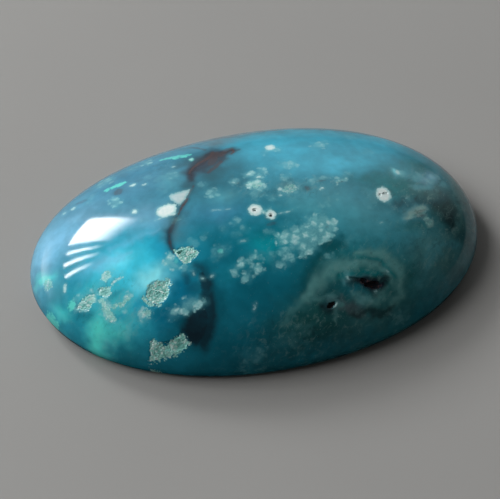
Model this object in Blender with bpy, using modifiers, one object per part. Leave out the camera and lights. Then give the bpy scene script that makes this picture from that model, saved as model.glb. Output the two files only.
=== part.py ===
"""A gem silica cabochon: one polished oval stone with a domed top, a low girdle and a flat back.

The open pits of the photo are cut into the dome: two brown vugs with a short crack, the holes in
the white rings, and the shallow druzy patches. Units are metres and +Z is up. The long axis of
the oval lies along X, and the stone rests on its flat back with the origin at the back's middle.
"""

import math

import bmesh
import bpy
from mathutils import Matrix, Vector, noise

# Driving dimensions
LENGTH = 0.030
WIDTH = 0.01875
HEIGHT = 0.0064
GIRDLE_HEIGHT = 0.0011
GIRDLE_TURN_HEIGHT = 0.00046
BACK_SHARE = 0.955
GIRDLE_TURN_SHARE = 0.9855

# The outline is cut by hand, so it leaves the true ellipse a little.
# Each wave is (waves in one turn, cosine part, sine part), as shares of the radius.
OUTLINE_WAVES = ((3, -0.0047, 0.0054), (4, -0.0071, -0.0030))
EGG_SHARE = 0.004

# How finely the stone is faceted
SEGMENTS = 104
DOME_RINGS = 26
OUTLINE_SAMPLES = 720
SHARP_ANGLE = math.radians(35)
MERGE_DISTANCE = 1e-5

# Each pit is (name, x, y, half length, half width, depth, turn in degrees, roughness share).
# The places and sizes are in millimetres on the dome, seen from above.
PITS = (
    ("brown_vug", 6.15, -6.62, 0.62, 0.25, 0.34, -10, 0.28),
    ("brown_vug_shoulder", 5.58, -6.37, 0.27, 0.17, 0.20, -30, 0.25),
    ("vug_crack", 4.98, -6.17, 0.36, 0.07, 0.10, -14, 0.15),
    ("lower_vug", 3.20, -7.50, 0.31, 0.20, 0.24, 25, 0.28),
    ("west_ring_hole", -0.26, -0.72, 0.15, 0.11, 0.16, 10, 0.22),
    ("east_ring_hole", 0.66, -1.33, 0.15, 0.13, 0.18, 35, 0.18),
    ("disc_mark", 8.10, -0.56, 0.12, 0.09, 0.09, 30, 0.20),
    ("disc_slot", 8.47, -0.45, 0.23, 0.08, 0.09, 8, 0.20),
    ("rust_hole", -5.50, -2.62, 0.19, 0.11, 0.14, 5, 0.24),
    ("druzy_disc", -7.35, -4.68, 0.74, 0.70, 0.09, 0, 0.10),
    ("druzy_corner", -7.05, -7.62, 0.95, 0.40, 0.09, -8, 0.10),
)
PIT_UNIT = 0.001
PIT_SUBDIVISIONS = 3
ROUGHNESS_SCALE = 2.4

# Polished stone
STONE_COLOUR = (0.030, 0.245, 0.290, 1.0)
STONE_ROUGHNESS = 0.09
STONE_IOR = 1.54


def remove_startup_objects():
    """Empty the scene, so the script gives the same result wherever it is run."""
    for thing in list(bpy.data.objects):
        bpy.data.objects.remove(thing, do_unlink=True)


def new_collection(name):
    """A new collection in the scene."""
    collection = bpy.data.collections.new(name)
    bpy.context.scene.collection.children.link(collection)
    return collection


def stone_material():
    """Blue-green polished chalcedony."""
    material = bpy.data.materials.new("gem_silica")
    material.use_nodes = True
    surface = material.node_tree.nodes["Principled BSDF"]
    surface.inputs["Base Color"].default_value = STONE_COLOUR
    surface.inputs["Roughness"].default_value = STONE_ROUGHNESS
    surface.inputs["Metallic"].default_value = 0.0
    surface.inputs["IOR"].default_value = STONE_IOR
    return material


def raw_outline(angle):
    """A point of the hand-cut oval before it is fitted to its length and width, as shares of them."""
    radius = 1.0
    for waves, cosine_part, sine_part in OUTLINE_WAVES:
        radius += cosine_part * math.cos(waves * angle) + sine_part * math.sin(waves * angle)
    x = radius * math.cos(angle)
    y = radius * math.sin(angle)
    return x, y * (1 + EGG_SHARE * x)


def outline_fit():
    """The middle and the half size of the raw outline along X and Y."""
    points = [raw_outline(math.tau * step / OUTLINE_SAMPLES) for step in range(OUTLINE_SAMPLES)]
    fit = []
    for values in zip(*points):
        fit.append(((max(values) + min(values)) / 2, (max(values) - min(values)) / 2))
    return fit


def profile_points():
    """The half section, from the middle of the back, round the girdle, to the top of the dome."""
    radius = LENGTH / 2
    points = [
        Vector((0, 0, 0)),
        Vector((radius * BACK_SHARE, 0, 0)),
        Vector((radius * GIRDLE_TURN_SHARE, 0, GIRDLE_TURN_HEIGHT)),
    ]
    rise = HEIGHT - GIRDLE_HEIGHT
    for ring in range(DOME_RINGS + 1):
        turn = math.pi / 2 * ring / DOME_RINGS
        height = GIRDLE_HEIGHT + rise * math.sin(turn)
        points.append(Vector((radius * math.cos(turn), 0, height)))
    return points


def turned_blank(collection):
    """The half section turned round Z, as a round blank."""
    points = profile_points()
    mesh = bpy.data.meshes.new("cabochon")
    mesh.from_pydata(points, [(i, i + 1) for i in range(len(points) - 1)], [])
    blank = bpy.data.objects.new("cabochon", mesh)
    collection.objects.link(blank)
    screw = blank.modifiers.new("Turn", "SCREW")
    screw.steps = SEGMENTS
    screw.render_steps = SEGMENTS
    screw.use_merge_vertices = True
    screw.merge_threshold = MERGE_DISTANCE
    screw.use_normal_calculate = True
    bpy.context.view_layer.objects.active = blank
    bpy.ops.object.modifier_apply(modifier=screw.name)
    return blank


def cut_to_outline(blank):
    """Move every ring of the round blank out to the oval outline."""
    (middle_x, half_x), (middle_y, half_y) = outline_fit()
    for vertex in blank.data.vertices:
        share = math.hypot(vertex.co.x, vertex.co.y) / (LENGTH / 2)
        x, y = raw_outline(math.atan2(vertex.co.y, vertex.co.x))
        vertex.co.x = share * (x - middle_x) / half_x * LENGTH / 2
        vertex.co.y = share * (y - middle_y) / half_y * WIDTH / 2


def finish_faces(stone):
    """Close the mesh with its faces outward, and shade it smooth but for the edge of the back."""
    shape = bmesh.new()
    shape.from_mesh(stone.data)
    bmesh.ops.recalc_face_normals(shape, faces=shape.faces)
    shape.to_mesh(stone.data)
    shape.free()
    stone.data.shade_smooth()
    stone.data.set_sharp_from_angle(angle=SHARP_ANGLE)


def pit_cutter(stone, pit, collection):
    """A rough flattened ball whose lower half is the hollow, set in the dome along its normal."""
    name, x, y, half_length, half_width, depth, turn, roughness = pit
    found, place, normal, _ = stone.ray_cast(
        Vector((x * PIT_UNIT, y * PIT_UNIT, 2 * HEIGHT)), Vector((0, 0, -1))
    )
    if not found:
        raise ValueError(f"{name} lies outside the stone")
    shape = bmesh.new()
    bmesh.ops.create_icosphere(shape, subdivisions=PIT_SUBDIVISIONS, radius=1.0)
    for vertex in shape.verts:
        lump = noise.noise(vertex.co * ROUGHNESS_SCALE + Vector((x, y, depth)))
        vertex.co *= 1 + roughness * lump
    size = Vector((half_length, half_width, depth)) * PIT_UNIT
    bmesh.ops.scale(shape, vec=size, verts=shape.verts)
    tilt = Vector((0, 0, 1)).rotation_difference(normal).to_matrix().to_4x4()
    turned = Matrix.Rotation(math.radians(turn), 4, "Z")
    bmesh.ops.transform(shape, matrix=Matrix.Translation(place) @ tilt @ turned, verts=shape.verts)
    mesh = bpy.data.meshes.new(name)
    shape.to_mesh(mesh)
    shape.free()
    cutter = bpy.data.objects.new(name, mesh)
    cutter.hide_render = True
    cutter.display_type = "WIRE"
    collection.objects.link(cutter)


def cut_pits(stone):
    """Cut every pit of the list out of the stone."""
    cutters = new_collection("Pit cutters")
    cutters.hide_render = True
    bpy.context.view_layer.update()
    for pit in PITS:
        pit_cutter(stone, pit, cutters)
    pits = stone.modifiers.new("Pits", "BOOLEAN")
    pits.operation = "DIFFERENCE"
    pits.operand_type = "COLLECTION"
    pits.collection = cutters
    pits.solver = "EXACT"


def main():
    remove_startup_objects()
    collection = new_collection("Gem silica cabochon")
    stone = turned_blank(collection)
    cut_to_outline(stone)
    finish_faces(stone)
    stone.data.materials.append(stone_material())
    cut_pits(stone)


main()
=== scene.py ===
"""Gem silica cabochon: the finished look of one polished oval stone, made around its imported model.

The stone is one closed mesh: a dome laid out from a half box, so that it has no pole, with a rounded
girdle and a flat ground back. Its natural markings are lists of spots, lines, rings and patches, in
millimetres on the dome seen from above. Each family of markings becomes a mesh attribute, and the
material roughens their edges and fills them with grain.
"""

import math
from collections import namedtuple

import bmesh
import bpy
import numpy as np
from bpy.props import FloatProperty, FloatVectorProperty, IntProperty, PointerProperty
from mathutils import Matrix, Vector, noise
from mathutils.bvhtree import BVHTree


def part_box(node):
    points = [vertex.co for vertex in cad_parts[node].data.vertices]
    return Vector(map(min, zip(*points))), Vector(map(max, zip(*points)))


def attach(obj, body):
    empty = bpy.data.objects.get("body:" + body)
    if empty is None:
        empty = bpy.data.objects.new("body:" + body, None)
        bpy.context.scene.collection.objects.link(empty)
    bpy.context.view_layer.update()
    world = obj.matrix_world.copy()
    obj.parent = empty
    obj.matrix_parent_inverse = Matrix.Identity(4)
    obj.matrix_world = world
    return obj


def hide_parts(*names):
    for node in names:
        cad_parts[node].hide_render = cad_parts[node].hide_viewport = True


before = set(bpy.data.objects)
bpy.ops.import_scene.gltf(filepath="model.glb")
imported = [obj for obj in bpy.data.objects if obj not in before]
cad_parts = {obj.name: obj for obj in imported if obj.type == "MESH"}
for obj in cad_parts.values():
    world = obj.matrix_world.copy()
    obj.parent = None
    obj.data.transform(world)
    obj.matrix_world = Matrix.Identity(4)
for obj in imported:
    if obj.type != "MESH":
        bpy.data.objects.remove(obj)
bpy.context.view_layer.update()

bl_info = {
    "name": "Gem silica cabochon",
    "version": (1, 0, 0),
    "blender": (4, 5, 0),
    "location": "3D View > Sidebar > Gem silica",
    "description": "Makes a polished gem silica cabochon with its druzy patches, and a plain studio",
    "category": "Add Mesh",
}

stone_low, stone_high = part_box("cabochon")
MIDDLE = [(low + high) / 2 for low, high in zip(stone_low, stone_high)]
MM = 0.001

# Markings
# A spot is an ellipse, a line has a half width at each of its points, a ring is a circle with a
# half width, and a patch is a closed outline.
Spot = namedtuple("Spot", "x y half_length half_width turn", defaults=(0,))
Line = namedtuple("Line", "points")
Ring = namedtuple("Ring", "x y radius half_width")
Patch = namedtuple("Patch", "corners")

# Colours laid over the teal body with soft edges, in this order, some of them painted glow and painted
# reflection at the left end: (colour, strength, marking)
TONES = (
    # Far side, left to right
    ("steel", 0.92, Spot(-8.0, 4.6, 5.0, 2.6, 10)),
    # Painted reflection: the pale veil round the window highlight
    ("mist_and_painted_reflection", 0.85, Spot(-12.7, 1.7, 2.1, 1.5, 45)),
    ("mist_and_painted_reflection", 0.60, Spot(-13.9, 0.2, 0.7, 1.6, 5)),
    ("mist_and_painted_reflection", 0.75, Spot(-9.6, 0.9, 3.0, 0.9, -6)),
    ("mist_and_painted_reflection", 0.45, Spot(-6.7, 0.1, 1.1, 0.8, -10)),
    ("sky", 0.98, Spot(3.4, 5.0, 4.8, 2.4, 0)),
    ("sky", 0.90, Spot(9.0, 4.6, 3.2, 1.9, -20)),
    ("milk", 0.90, Spot(5.0, 2.3, 2.8, 1.0, -4)),
    ("milk", 0.45, Spot(7.2, 2.3, 1.6, 0.7, -10)),
    ("deep", 0.80, Spot(7.0, 7.3, 2.2, 0.8, -14)),
    ("deep", 0.75, Spot(-2.3, 1.8, 1.5, 0.7, 0)),
    ("abyss", 0.85, Spot(-2.1, 3.0, 1.0, 0.7, 25)),
    ("deep", 0.60, Spot(-0.8, 3.0, 0.8, 1.4, -15)),
    ("clay", 0.70, Spot(-0.4, 7.8, 2.0, 0.8, 4)),
    ("abyss", 0.70, Spot(-3.6, 5.1, 1.1, 0.5, 10)),
    ("steel", 0.55, Spot(-4.4, 6.6, 2.6, 0.9, 10)),
    # Middle
    ("steel", 0.75, Spot(-2.8, -0.6, 1.9, 0.8, 0)),
    ("pale", 0.55, Spot(-1.8, 0.6, 0.7, 0.5, 10)),
    ("pale", 0.35, Spot(-4.9, 3.4, 0.45, 0.9, 8)),
    ("moss", 0.35, Spot(2.3, 0.85, 0.9, 0.45, 0)),
    ("clay", 0.35, Spot(2.4, 0.75, 0.6, 0.3, 0)),
    ("pale", 0.50, Spot(0.05, 0.80, 0.35, 0.30, 0)),
    ("fog", 0.75, Spot(3.4, -0.9, 2.2, 0.9, -8)),
    ("fog", 1.00, Spot(6.4, -2.4, 2.7, 1.5, -14)),
    ("fog", 0.45, Spot(4.6, 0.2, 1.8, 0.5, -5)),
    ("deep", 0.30, Spot(0.6, 0.3, 1.2, 0.6, 0)),
    ("teal", 0.50, Spot(-4.2, -1.6, 1.2, 0.9, 0)),
    ("sea", 0.90, Spot(-0.1, -3.2, 1.3, 0.8, 0)),
    ("sea", 0.45, Spot(-1.4, -4.5, 1.6, 0.4, 8)),
    ("deep", 0.90, Spot(-2.9, -3.3, 1.6, 1.0, 0)),
    ("deep", 0.55, Spot(0.6, -2.1, 1.0, 0.5, 10)),
    ("abyss", 0.80, Spot(-4.9, -4.15, 0.75, 0.45, 15)),
    ("abyss", 0.70, Line(((-4.5, -3.7, 0.2), (-4.1, -4.6, 0.3), (-4.0, -5.6, 0.3)))),
    ("deep", 0.70, Spot(-2.2, -6.2, 2.6, 1.4, 0)),
    ("deep", 0.80, Spot(0.4, -6.4, 2.2, 1.4, 10)),
    ("abyss", 0.60, Spot(4.0, -4.05, 0.8, 0.3, 0)),
    ("abyss", 0.90, Line(((4.6, -3.9, 0.40), (3.5, -4.4, 0.60), (2.5, -5.4, 0.70), (1.6, -6.6, 0.60)))),
    # Left end
    ("azure", 0.85, Spot(-9.6, -3.9, 3.3, 2.6, -5)),
    # Painted glow of the window light that comes through the stone at the left end
    ("painted_glow_cyan", 1.00, Spot(-9.0, -2.5, 2.4, 1.8, -6)),
    ("azure", 0.70, Spot(-6.7, -2.3, 0.7, 1.1, 0)),
    ("aqua", 0.90, Spot(-10.2, -5.0, 1.7, 1.3, -20)),
    # Painted glow: a bright spot of the light that comes through the stone
    ("frost_and_painted_glow", 0.40, Spot(-9.3, -2.0, 1.1, 0.6, 5)),
    # Painted reflection: pale streaks of the window highlight's veil, running right from its strips
    ("mist_and_painted_reflection", 0.30, Line((
        (-9.7, -0.83, 0.25), (-8.6, -0.79, 0.25), (-7.5, -0.65, 0.20), (-6.4, -0.56, 0.12),
    ))),
    ("mist_and_painted_reflection", 0.30, Line(((-10.6, -1.64, 0.20), (-9.5, -1.60, 0.18), (-8.4, -1.59, 0.12)))),
    ("mist_and_painted_reflection", 0.40, Spot(-10.6, -1.6, 1.0, 0.5, 0)),
    # Painted glow, brighter toward the middle of the left end
    ("painted_glow_cyan", 0.60, Spot(-8.0, -2.6, 0.9, 0.6, 0)),
    # Painted glow: the brightest spot of the light that comes through the stone, above the druzy disc
    ("frost_and_painted_glow", 1.00, Spot(-7.4, -3.85, 0.85, 0.65, 0)),
    ("frost_and_painted_glow", 0.60, Spot(-7.4, -3.85, 0.45, 0.45, 0)),
    ("clay", 0.60, Spot(-5.5, -0.9, 0.7, 0.9, -15)),
    ("teal", 0.60, Spot(-12.6, -3.8, 0.7, 1.1, 20)),
    ("fog", 0.65, Spot(-13.5, -1.6, 0.6, 1.0, 15)),
    ("cobalt", 0.85, Spot(-5.9, -4.9, 0.7, 1.0, 0)),
    ("cobalt", 0.85, Spot(-6.9, -6.2, 1.2, 0.6, -10)),
    ("abyss", 0.80, Spot(-5.8, -7.2, 1.2, 0.8, -20)),
    ("abyss", 0.70, Spot(-6.1, -6.6, 0.5, 0.35, 0)),
    ("teal", 0.80, Spot(-9.6, -7.3, 1.8, 0.5, -22)),
    # Painted glow of the window light that comes through the stone at the near left
    ("jade_and_painted_glow", 1.00, Spot(-11.4, -5.45, 0.50, 0.85, -25)),
    ("jade_and_painted_glow", 0.50, Spot(-10.4, -5.9, 0.9, 0.4, -25)),
    ("jade_and_painted_glow", 0.30, Spot(-11.9, -4.8, 0.30, 0.4, -15)),
    # Painted glow along the left rim
    ("jade_and_painted_glow", 0.32, Line(((-14.6, -0.3, 0.22), (-14.1, -0.7, 0.32), (-13.6, -0.9, 0.25)))),
    ("jade_and_painted_glow", 0.40, Spot(-13.4, -3.2, 0.3, 0.7, 30)),
    ("aqua", 0.50, Spot(-11.6, -3.1, 0.9, 0.5, 0)),
    ("teal", 0.55, Spot(-10.0, -4.0, 0.42, 0.28, 0)),
    ("teal", 0.60, Spot(-11.9, -4.2, 0.45, 0.25, 0)),
    ("azure", 0.60, Spot(-8.8, -5.0, 0.40, 0.35, 0)),
    ("azure", 0.60, Spot(-9.8, -5.35, 0.30, 0.22, 0)),
    # Right end
    ("bottle", 0.95, Spot(9.6, 0.1, 1.8, 1.4, -12)),
    ("bottle", 0.75, Spot(11.8, 2.1, 1.2, 0.8, -20)),
    ("bottle", 0.55, Spot(7.6, 0.9, 1.2, 0.4, 0)),
    ("moss", 0.95, Spot(12.3, -1.0, 1.5, 2.2, 10)),
    ("ink", 0.45, Spot(12.4, -1.0, 0.9, 1.5, 10)),
    ("abyss", 0.70, Line(((9.2, -1.6, 0.40), (10.4, -1.0, 0.30), (11.6, -0.9, 0.35), (12.6, -0.2, 0.40)))),
    ("moss", 0.60, Spot(9.9, -2.9, 1.0, 0.35, 10)),
    ("slate", 0.95, Spot(10.8, -4.8, 2.7, 1.5, 25)),
    ("slate", 0.70, Spot(13.9, 0.6, 0.5, 2.6, -5)),
    ("slate", 0.60, Spot(11.5, -0.2, 0.9, 0.4, 10)),
    ("ink", 0.85, Spot(12.7, -2.4, 0.60, 1.0, -15)),
    ("pale", 0.75, Spot(9.95, 1.40, 0.48, 0.40, 0)),
    ("frost_and_painted_glow", 0.60, Spot(9.82, 1.52, 0.22, 0.22, 0)),
    ("fog", 0.75, Spot(11.20, 1.10, 0.52, 0.40, 20)),
    ("mist_and_painted_reflection", 0.70, Spot(12.20, 1.20, 0.36, 0.65, -38)),
    ("fog", 0.70, Line(((10.7, -0.1, 0.16), (11.2, 0.2, 0.20), (11.9, 0.3, 0.22), (12.2, 0.8, 0.20)))),
    ("fog", 0.60, Spot(13.0, 0.7, 0.22, 0.5, -38)),
    ("slate", 0.70, Line(((12.3, -3.4, 0.16), (12.9, -2.8, 0.18), (13.5, -1.6, 0.20), (13.7, -0.6, 0.16)))),
    ("fog", 0.65, Line(((9.2, -2.35, 0.22), (9.8, -2.05, 0.26), (10.5, -1.75, 0.36), (11.0, -1.5, 0.28)))),
    ("lichen", 0.85, Line(((9.3, -2.40, 0.14), (9.8, -2.10, 0.20), (10.4, -1.85, 0.28), (10.9, -1.5, 0.18)))),
    ("lichen", 0.55, Ring(10.86, -2.50, 0.22, 0.12)),
    ("fog", 0.45, Spot(8.9, -6.65, 0.55, 0.20, 30)),
    ("clay", 0.50, Spot(10.25, -2.15, 0.30, 0.16, 20)),
    ("fog", 0.35, Line(((10.0, -4.9, 0.2), (11.2, -4.2, 0.25), (12.4, -3.9, 0.2)))),
    ("fog", 0.40, Line(((9.2, -6.4, 0.12), (10.2, -5.3, 0.16), (11.1, -4.6, 0.16)))),
    # Near side
    ("bottle", 0.70, Spot(5.6, -6.0, 2.6, 1.6, -5)),
    ("moss", 0.85, Spot(2.0, -8.3, 3.4, 0.7, 6)),
    ("ink", 0.45, Spot(1.5, -8.7, 3.4, 0.6, 5)),
    ("slate", 0.55, Spot(6.2, -8.0, 2.2, 0.5, 18)),
    ("moss", 0.50, Spot(8.4, -6.4, 0.7, 0.7, 0)),
    ("deep", 0.60, Spot(-3.0, -8.4, 2.6, 0.7, 3)),
    ("abyss", 0.60, Spot(-3.9, -6.2, 0.45, 1.3, 0)),
    # Dark vein from the far rim
    ("clay", 0.55, Spot(-1.3, 6.6, 0.8, 0.5, 10)),
    ("plum", 1.00, Line(((-3.9, 2.7, 0.26), (-3.5, 3.6, 0.44), (-2.7, 4.5, 0.62), (-1.7, 5.2, 0.56)))),
    ("plum", 0.90, Line(((-1.7, 5.2, 0.56), (-1.0, 5.3, 0.36), (-0.4, 5.3, 0.26)))),
    ("plum", 0.80, Line(((-2.6, 3.8, 0.40), (-1.9, 4.2, 0.45), (-1.2, 4.5, 0.30)))),
    ("abyss", 0.50, Line(((-4.0, 2.4, 0.40), (-4.6, 1.2, 0.35), (-5.2, 0.1, 0.35)))),
    ("plum", 0.55, Line(((-5.9, -1.0, 0.22), (-6.0, -1.7, 0.20), (-6.0, -2.3, 0.12)))),
)

# Bands of the agate eye round the vugs: (colour, strength, marking)
BANDS = (
    # Ground of the eye and of its tail
    ("moss", 0.85, Spot(5.8, -6.3, 2.4, 1.6, -5)),
    ("moss", 0.75, Spot(2.4, -7.4, 2.4, 0.9, 20)),
    ("abyss", 0.50, Spot(3.3, -6.7, 1.1, 0.26, 14)),
    # Pale lobes of the outer ring
    ("sage", 0.45, Line(((-0.1, -8.00, 0.14), (0.8, -7.50, 0.20), (1.8, -6.80, 0.26)))),
    ("sage", 0.92, Line((
        (1.6, -6.95, 0.22), (2.7, -6.20, 0.36), (3.6, -5.66, 0.38),
        (4.6, -5.34, 0.34), (5.6, -5.28, 0.30), (6.5, -5.45, 0.26), (7.1, -5.90, 0.24), (7.4, -6.50, 0.20),
    ))),
    ("sage", 0.95, Line((
        (5.6, -4.72, 0.16), (6.4, -4.55, 0.24), (7.15, -4.80, 0.28), (7.65, -5.30, 0.28), (7.98, -5.95, 0.28),
        (8.02, -6.50, 0.28), (7.80, -7.00, 0.24), (7.20, -7.42, 0.18),
    ))),
    ("bottle", 0.65, Line((
        (5.5, -4.95, 0.10), (6.3, -4.95, 0.11), (6.9, -5.15, 0.11), (7.35, -5.60, 0.10), (7.60, -6.20, 0.10),
    ))),
    # Dark ring and the pale rings inside it
    ("bottle", 0.85, Line((
        (4.0, -6.00, 0.18), (4.8, -5.82, 0.20), (5.6, -5.82, 0.16), (6.3, -5.98, 0.18), (6.8, -6.15, 0.16),
    ))),
    ("pale", 0.45, Line(((4.2, -6.45, 0.10), (4.8, -6.05, 0.10), (5.5, -6.10, 0.09), (6.1, -6.22, 0.08)))),
    ("teal", 0.60, Spot(4.9, -6.85, 0.65, 0.32, 0)),
    ("ink", 0.65, Line(((4.4, -6.30, 0.08), (5.0, -6.32, 0.10), (5.6, -6.35, 0.14)))),
    ("ink", 0.75, Line(((5.4, -6.45, 0.16), (6.1, -6.60, 0.24), (6.9, -6.35, 0.16), (7.1, -6.15, 0.08)))),
    ("sage", 0.75, Line((
        (4.6, -7.10, 0.16), (5.2, -7.40, 0.20), (5.9, -7.45, 0.20), (6.5, -7.22, 0.18), (6.95, -6.90, 0.14),
    ))),
    # Grey violet cloud and the dark arc under the eye
    ("clay", 0.60, Spot(4.5, -7.60, 0.75, 0.24, -8)),
    ("clay", 0.40, Line(((3.9, -7.0, 0.10), (3.9, -7.5, 0.14), (4.4, -7.9, 0.14), (5.2, -8.1, 0.12)))),
    ("ink", 0.65, Line(((4.6, -8.0, 0.14), (5.6, -8.0, 0.16), (6.6, -7.85, 0.14), (7.3, -7.5, 0.10)))),
    # Pale tail round the lower vug
    ("sage", 0.60, Line(((2.0, -7.2, 0.10), (2.7, -7.05, 0.12), (3.4, -7.1, 0.10), (3.8, -7.35, 0.10)))),
    ("sage", 0.60, Line(((3.80, -7.20, 0.06), (3.62, -7.65, 0.14), (3.40, -8.00, 0.10)))),
)

# Bright white spots, and a painted reflection in the lower vug: (strength, marking)
SNOW_AND_PAINTED_GLINT = (
    # White blob beside the vein
    (1.00, Spot(-5.75, 0.72, 0.66, 0.50, 10)),
    (1.00, Spot(-6.02, 1.06, 0.20, 0.14)),
    (1.00, Spot(-5.52, 1.12, 0.20, 0.15)),
    (1.00, Spot(-5.28, 0.92, 0.20, 0.20)),
    (1.00, Spot(-6.20, 0.55, 0.18, 0.18)),
    (0.90, Spot(-5.40, 0.34, 0.26, 0.12)),
    (0.95, Spot(-5.92, 0.32, 0.22, 0.12)),
    (0.60, Line(((-6.15, 0.25, 0.06), (-6.55, 0.18, 0.03)))),
    # Wedge between the white blob and the vein
    (0.58, Patch((
        (-5.34, 1.90), (-5.18, 2.02), (-4.60, 2.04), (-3.92, 2.08), (-4.12, 1.68), (-4.45, 1.22),
        (-4.85, 0.90), (-5.08, 1.20), (-5.30, 1.55),
    ))),
    # Twin rings
    (1.00, Spot(-0.24, -0.74, 0.45, 0.44)),
    (1.00, Spot(0.66, -1.32, 0.33, 0.34)),
    (0.70, Spot(0.20, -0.95, 0.10, 0.20, 20)),
    (0.50, Line(((1.05, -1.35, 0.03), (1.35, -1.28, 0.05), (1.75, -1.30, 0.06), (2.10, -1.18, 0.02)))),
    # Disc
    (0.95, Spot(8.33, -0.55, 0.50, 0.62, -12)),
    (0.85, Spot(8.45, 0.00, 0.12, 0.12)),
    # Lone spots
    (1.00, Spot(-7.70, 1.40, 0.17, 0.18)),
    (0.85, Spot(2.02, 4.88, 0.32, 0.34)),
    (0.90, Spot(4.36, 0.24, 0.15, 0.07, 25)),
    (0.80, Spot(-12.95, -2.10, 0.10, 0.24, -10)),
    (0.70, Spot(-11.42, 3.95, 0.15, 0.15)),
    (0.45, Spot(-12.05, 3.98, 0.12, 0.14)),
    (0.85, Spot(-7.38, 3.98, 0.20, 0.13)),
    (0.55, Spot(-6.65, 3.66, 0.16, 0.10)),
    (0.45, Spot(-4.50, 4.76, 0.12, 0.08)),
    (0.60, Spot(-3.25, 5.15, 0.10, 0.12)),
    (0.75, Spot(9.86, 1.46, 0.16, 0.18)),
    (0.75, Spot(0.60, 2.00, 0.18, 0.09, 10)),
    (0.60, Spot(-0.02, 2.40, 0.18, 0.08)),
    (0.75, Spot(-0.15, 1.44, 0.20, 0.08, -5)),
    (0.60, Spot(0.45, 1.55, 0.22, 0.12, 5)),
    (0.65, Spot(1.70, 0.62, 0.14, 0.14)),
    (0.60, Spot(1.62, 0.12, 0.12, 0.07)),
    (0.50, Spot(-1.10, 1.90, 0.12, 0.09)),
    (0.70, Spot(-4.48, -4.68, 0.12, 0.05, -30)),
    (0.40, Spot(-4.95, -4.28, 0.06, 0.09)),
    (0.45, Spot(-3.86, -4.68, 0.14, 0.07, 20)),
    (0.55, Spot(-8.46, -5.74, 0.16, 0.11, 20)),
    (0.50, Spot(-8.62, -5.45, 0.14, 0.09)),
    (0.75, Spot(-6.45, -6.05, 0.16, 0.08, 10)),
    (0.60, Line(((-5.30, -6.15, 0.05), (-4.95, -6.02, 0.08), (-4.68, -6.06, 0.03)))),
    (0.65, Line(((-1.72, -7.10, 0.02), (-1.63, -6.98, 0.02), (-1.50, -6.78, 0.01)))),
    (0.50, Line(((-1.63, -6.98, 0.01), (-1.66, -6.84, 0.01)))),
    (0.55, Spot(2.02, -3.30, 0.13, 0.10)),
    (0.60, Spot(4.20, -2.45, 0.16, 0.14, 20)),
    (0.60, Spot(4.55, -6.12, 0.10, 0.13)),
    (0.55, Spot(6.20, -6.96, 0.09, 0.04, 10)),
    # Painted reflection: white streak on the right side of the lower vug
    (0.55, Line(((3.30, -7.62, 0.04), (3.48, -7.50, 0.05), (3.62, -7.38, 0.03)))),
    (0.40, Spot(7.22, -5.88, 0.10, 0.06, -20)),
    (0.45, Spot(7.62, -2.75, 0.12, 0.03, 10)),
    (0.35, Line((
        (-2.95, -0.15, 0.03), (-2.75, -0.14, 0.06), (-2.55, -0.18, 0.04), (-2.25, -0.26, 0.04),
        (-1.75, -0.31, 0.03),
    ))),
    (0.40, Spot(-2.05, -4.38, 0.14, 0.07, 30)),
    (0.45, Spot(-1.50, -2.85, 0.22, 0.06, 5)),
)

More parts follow.
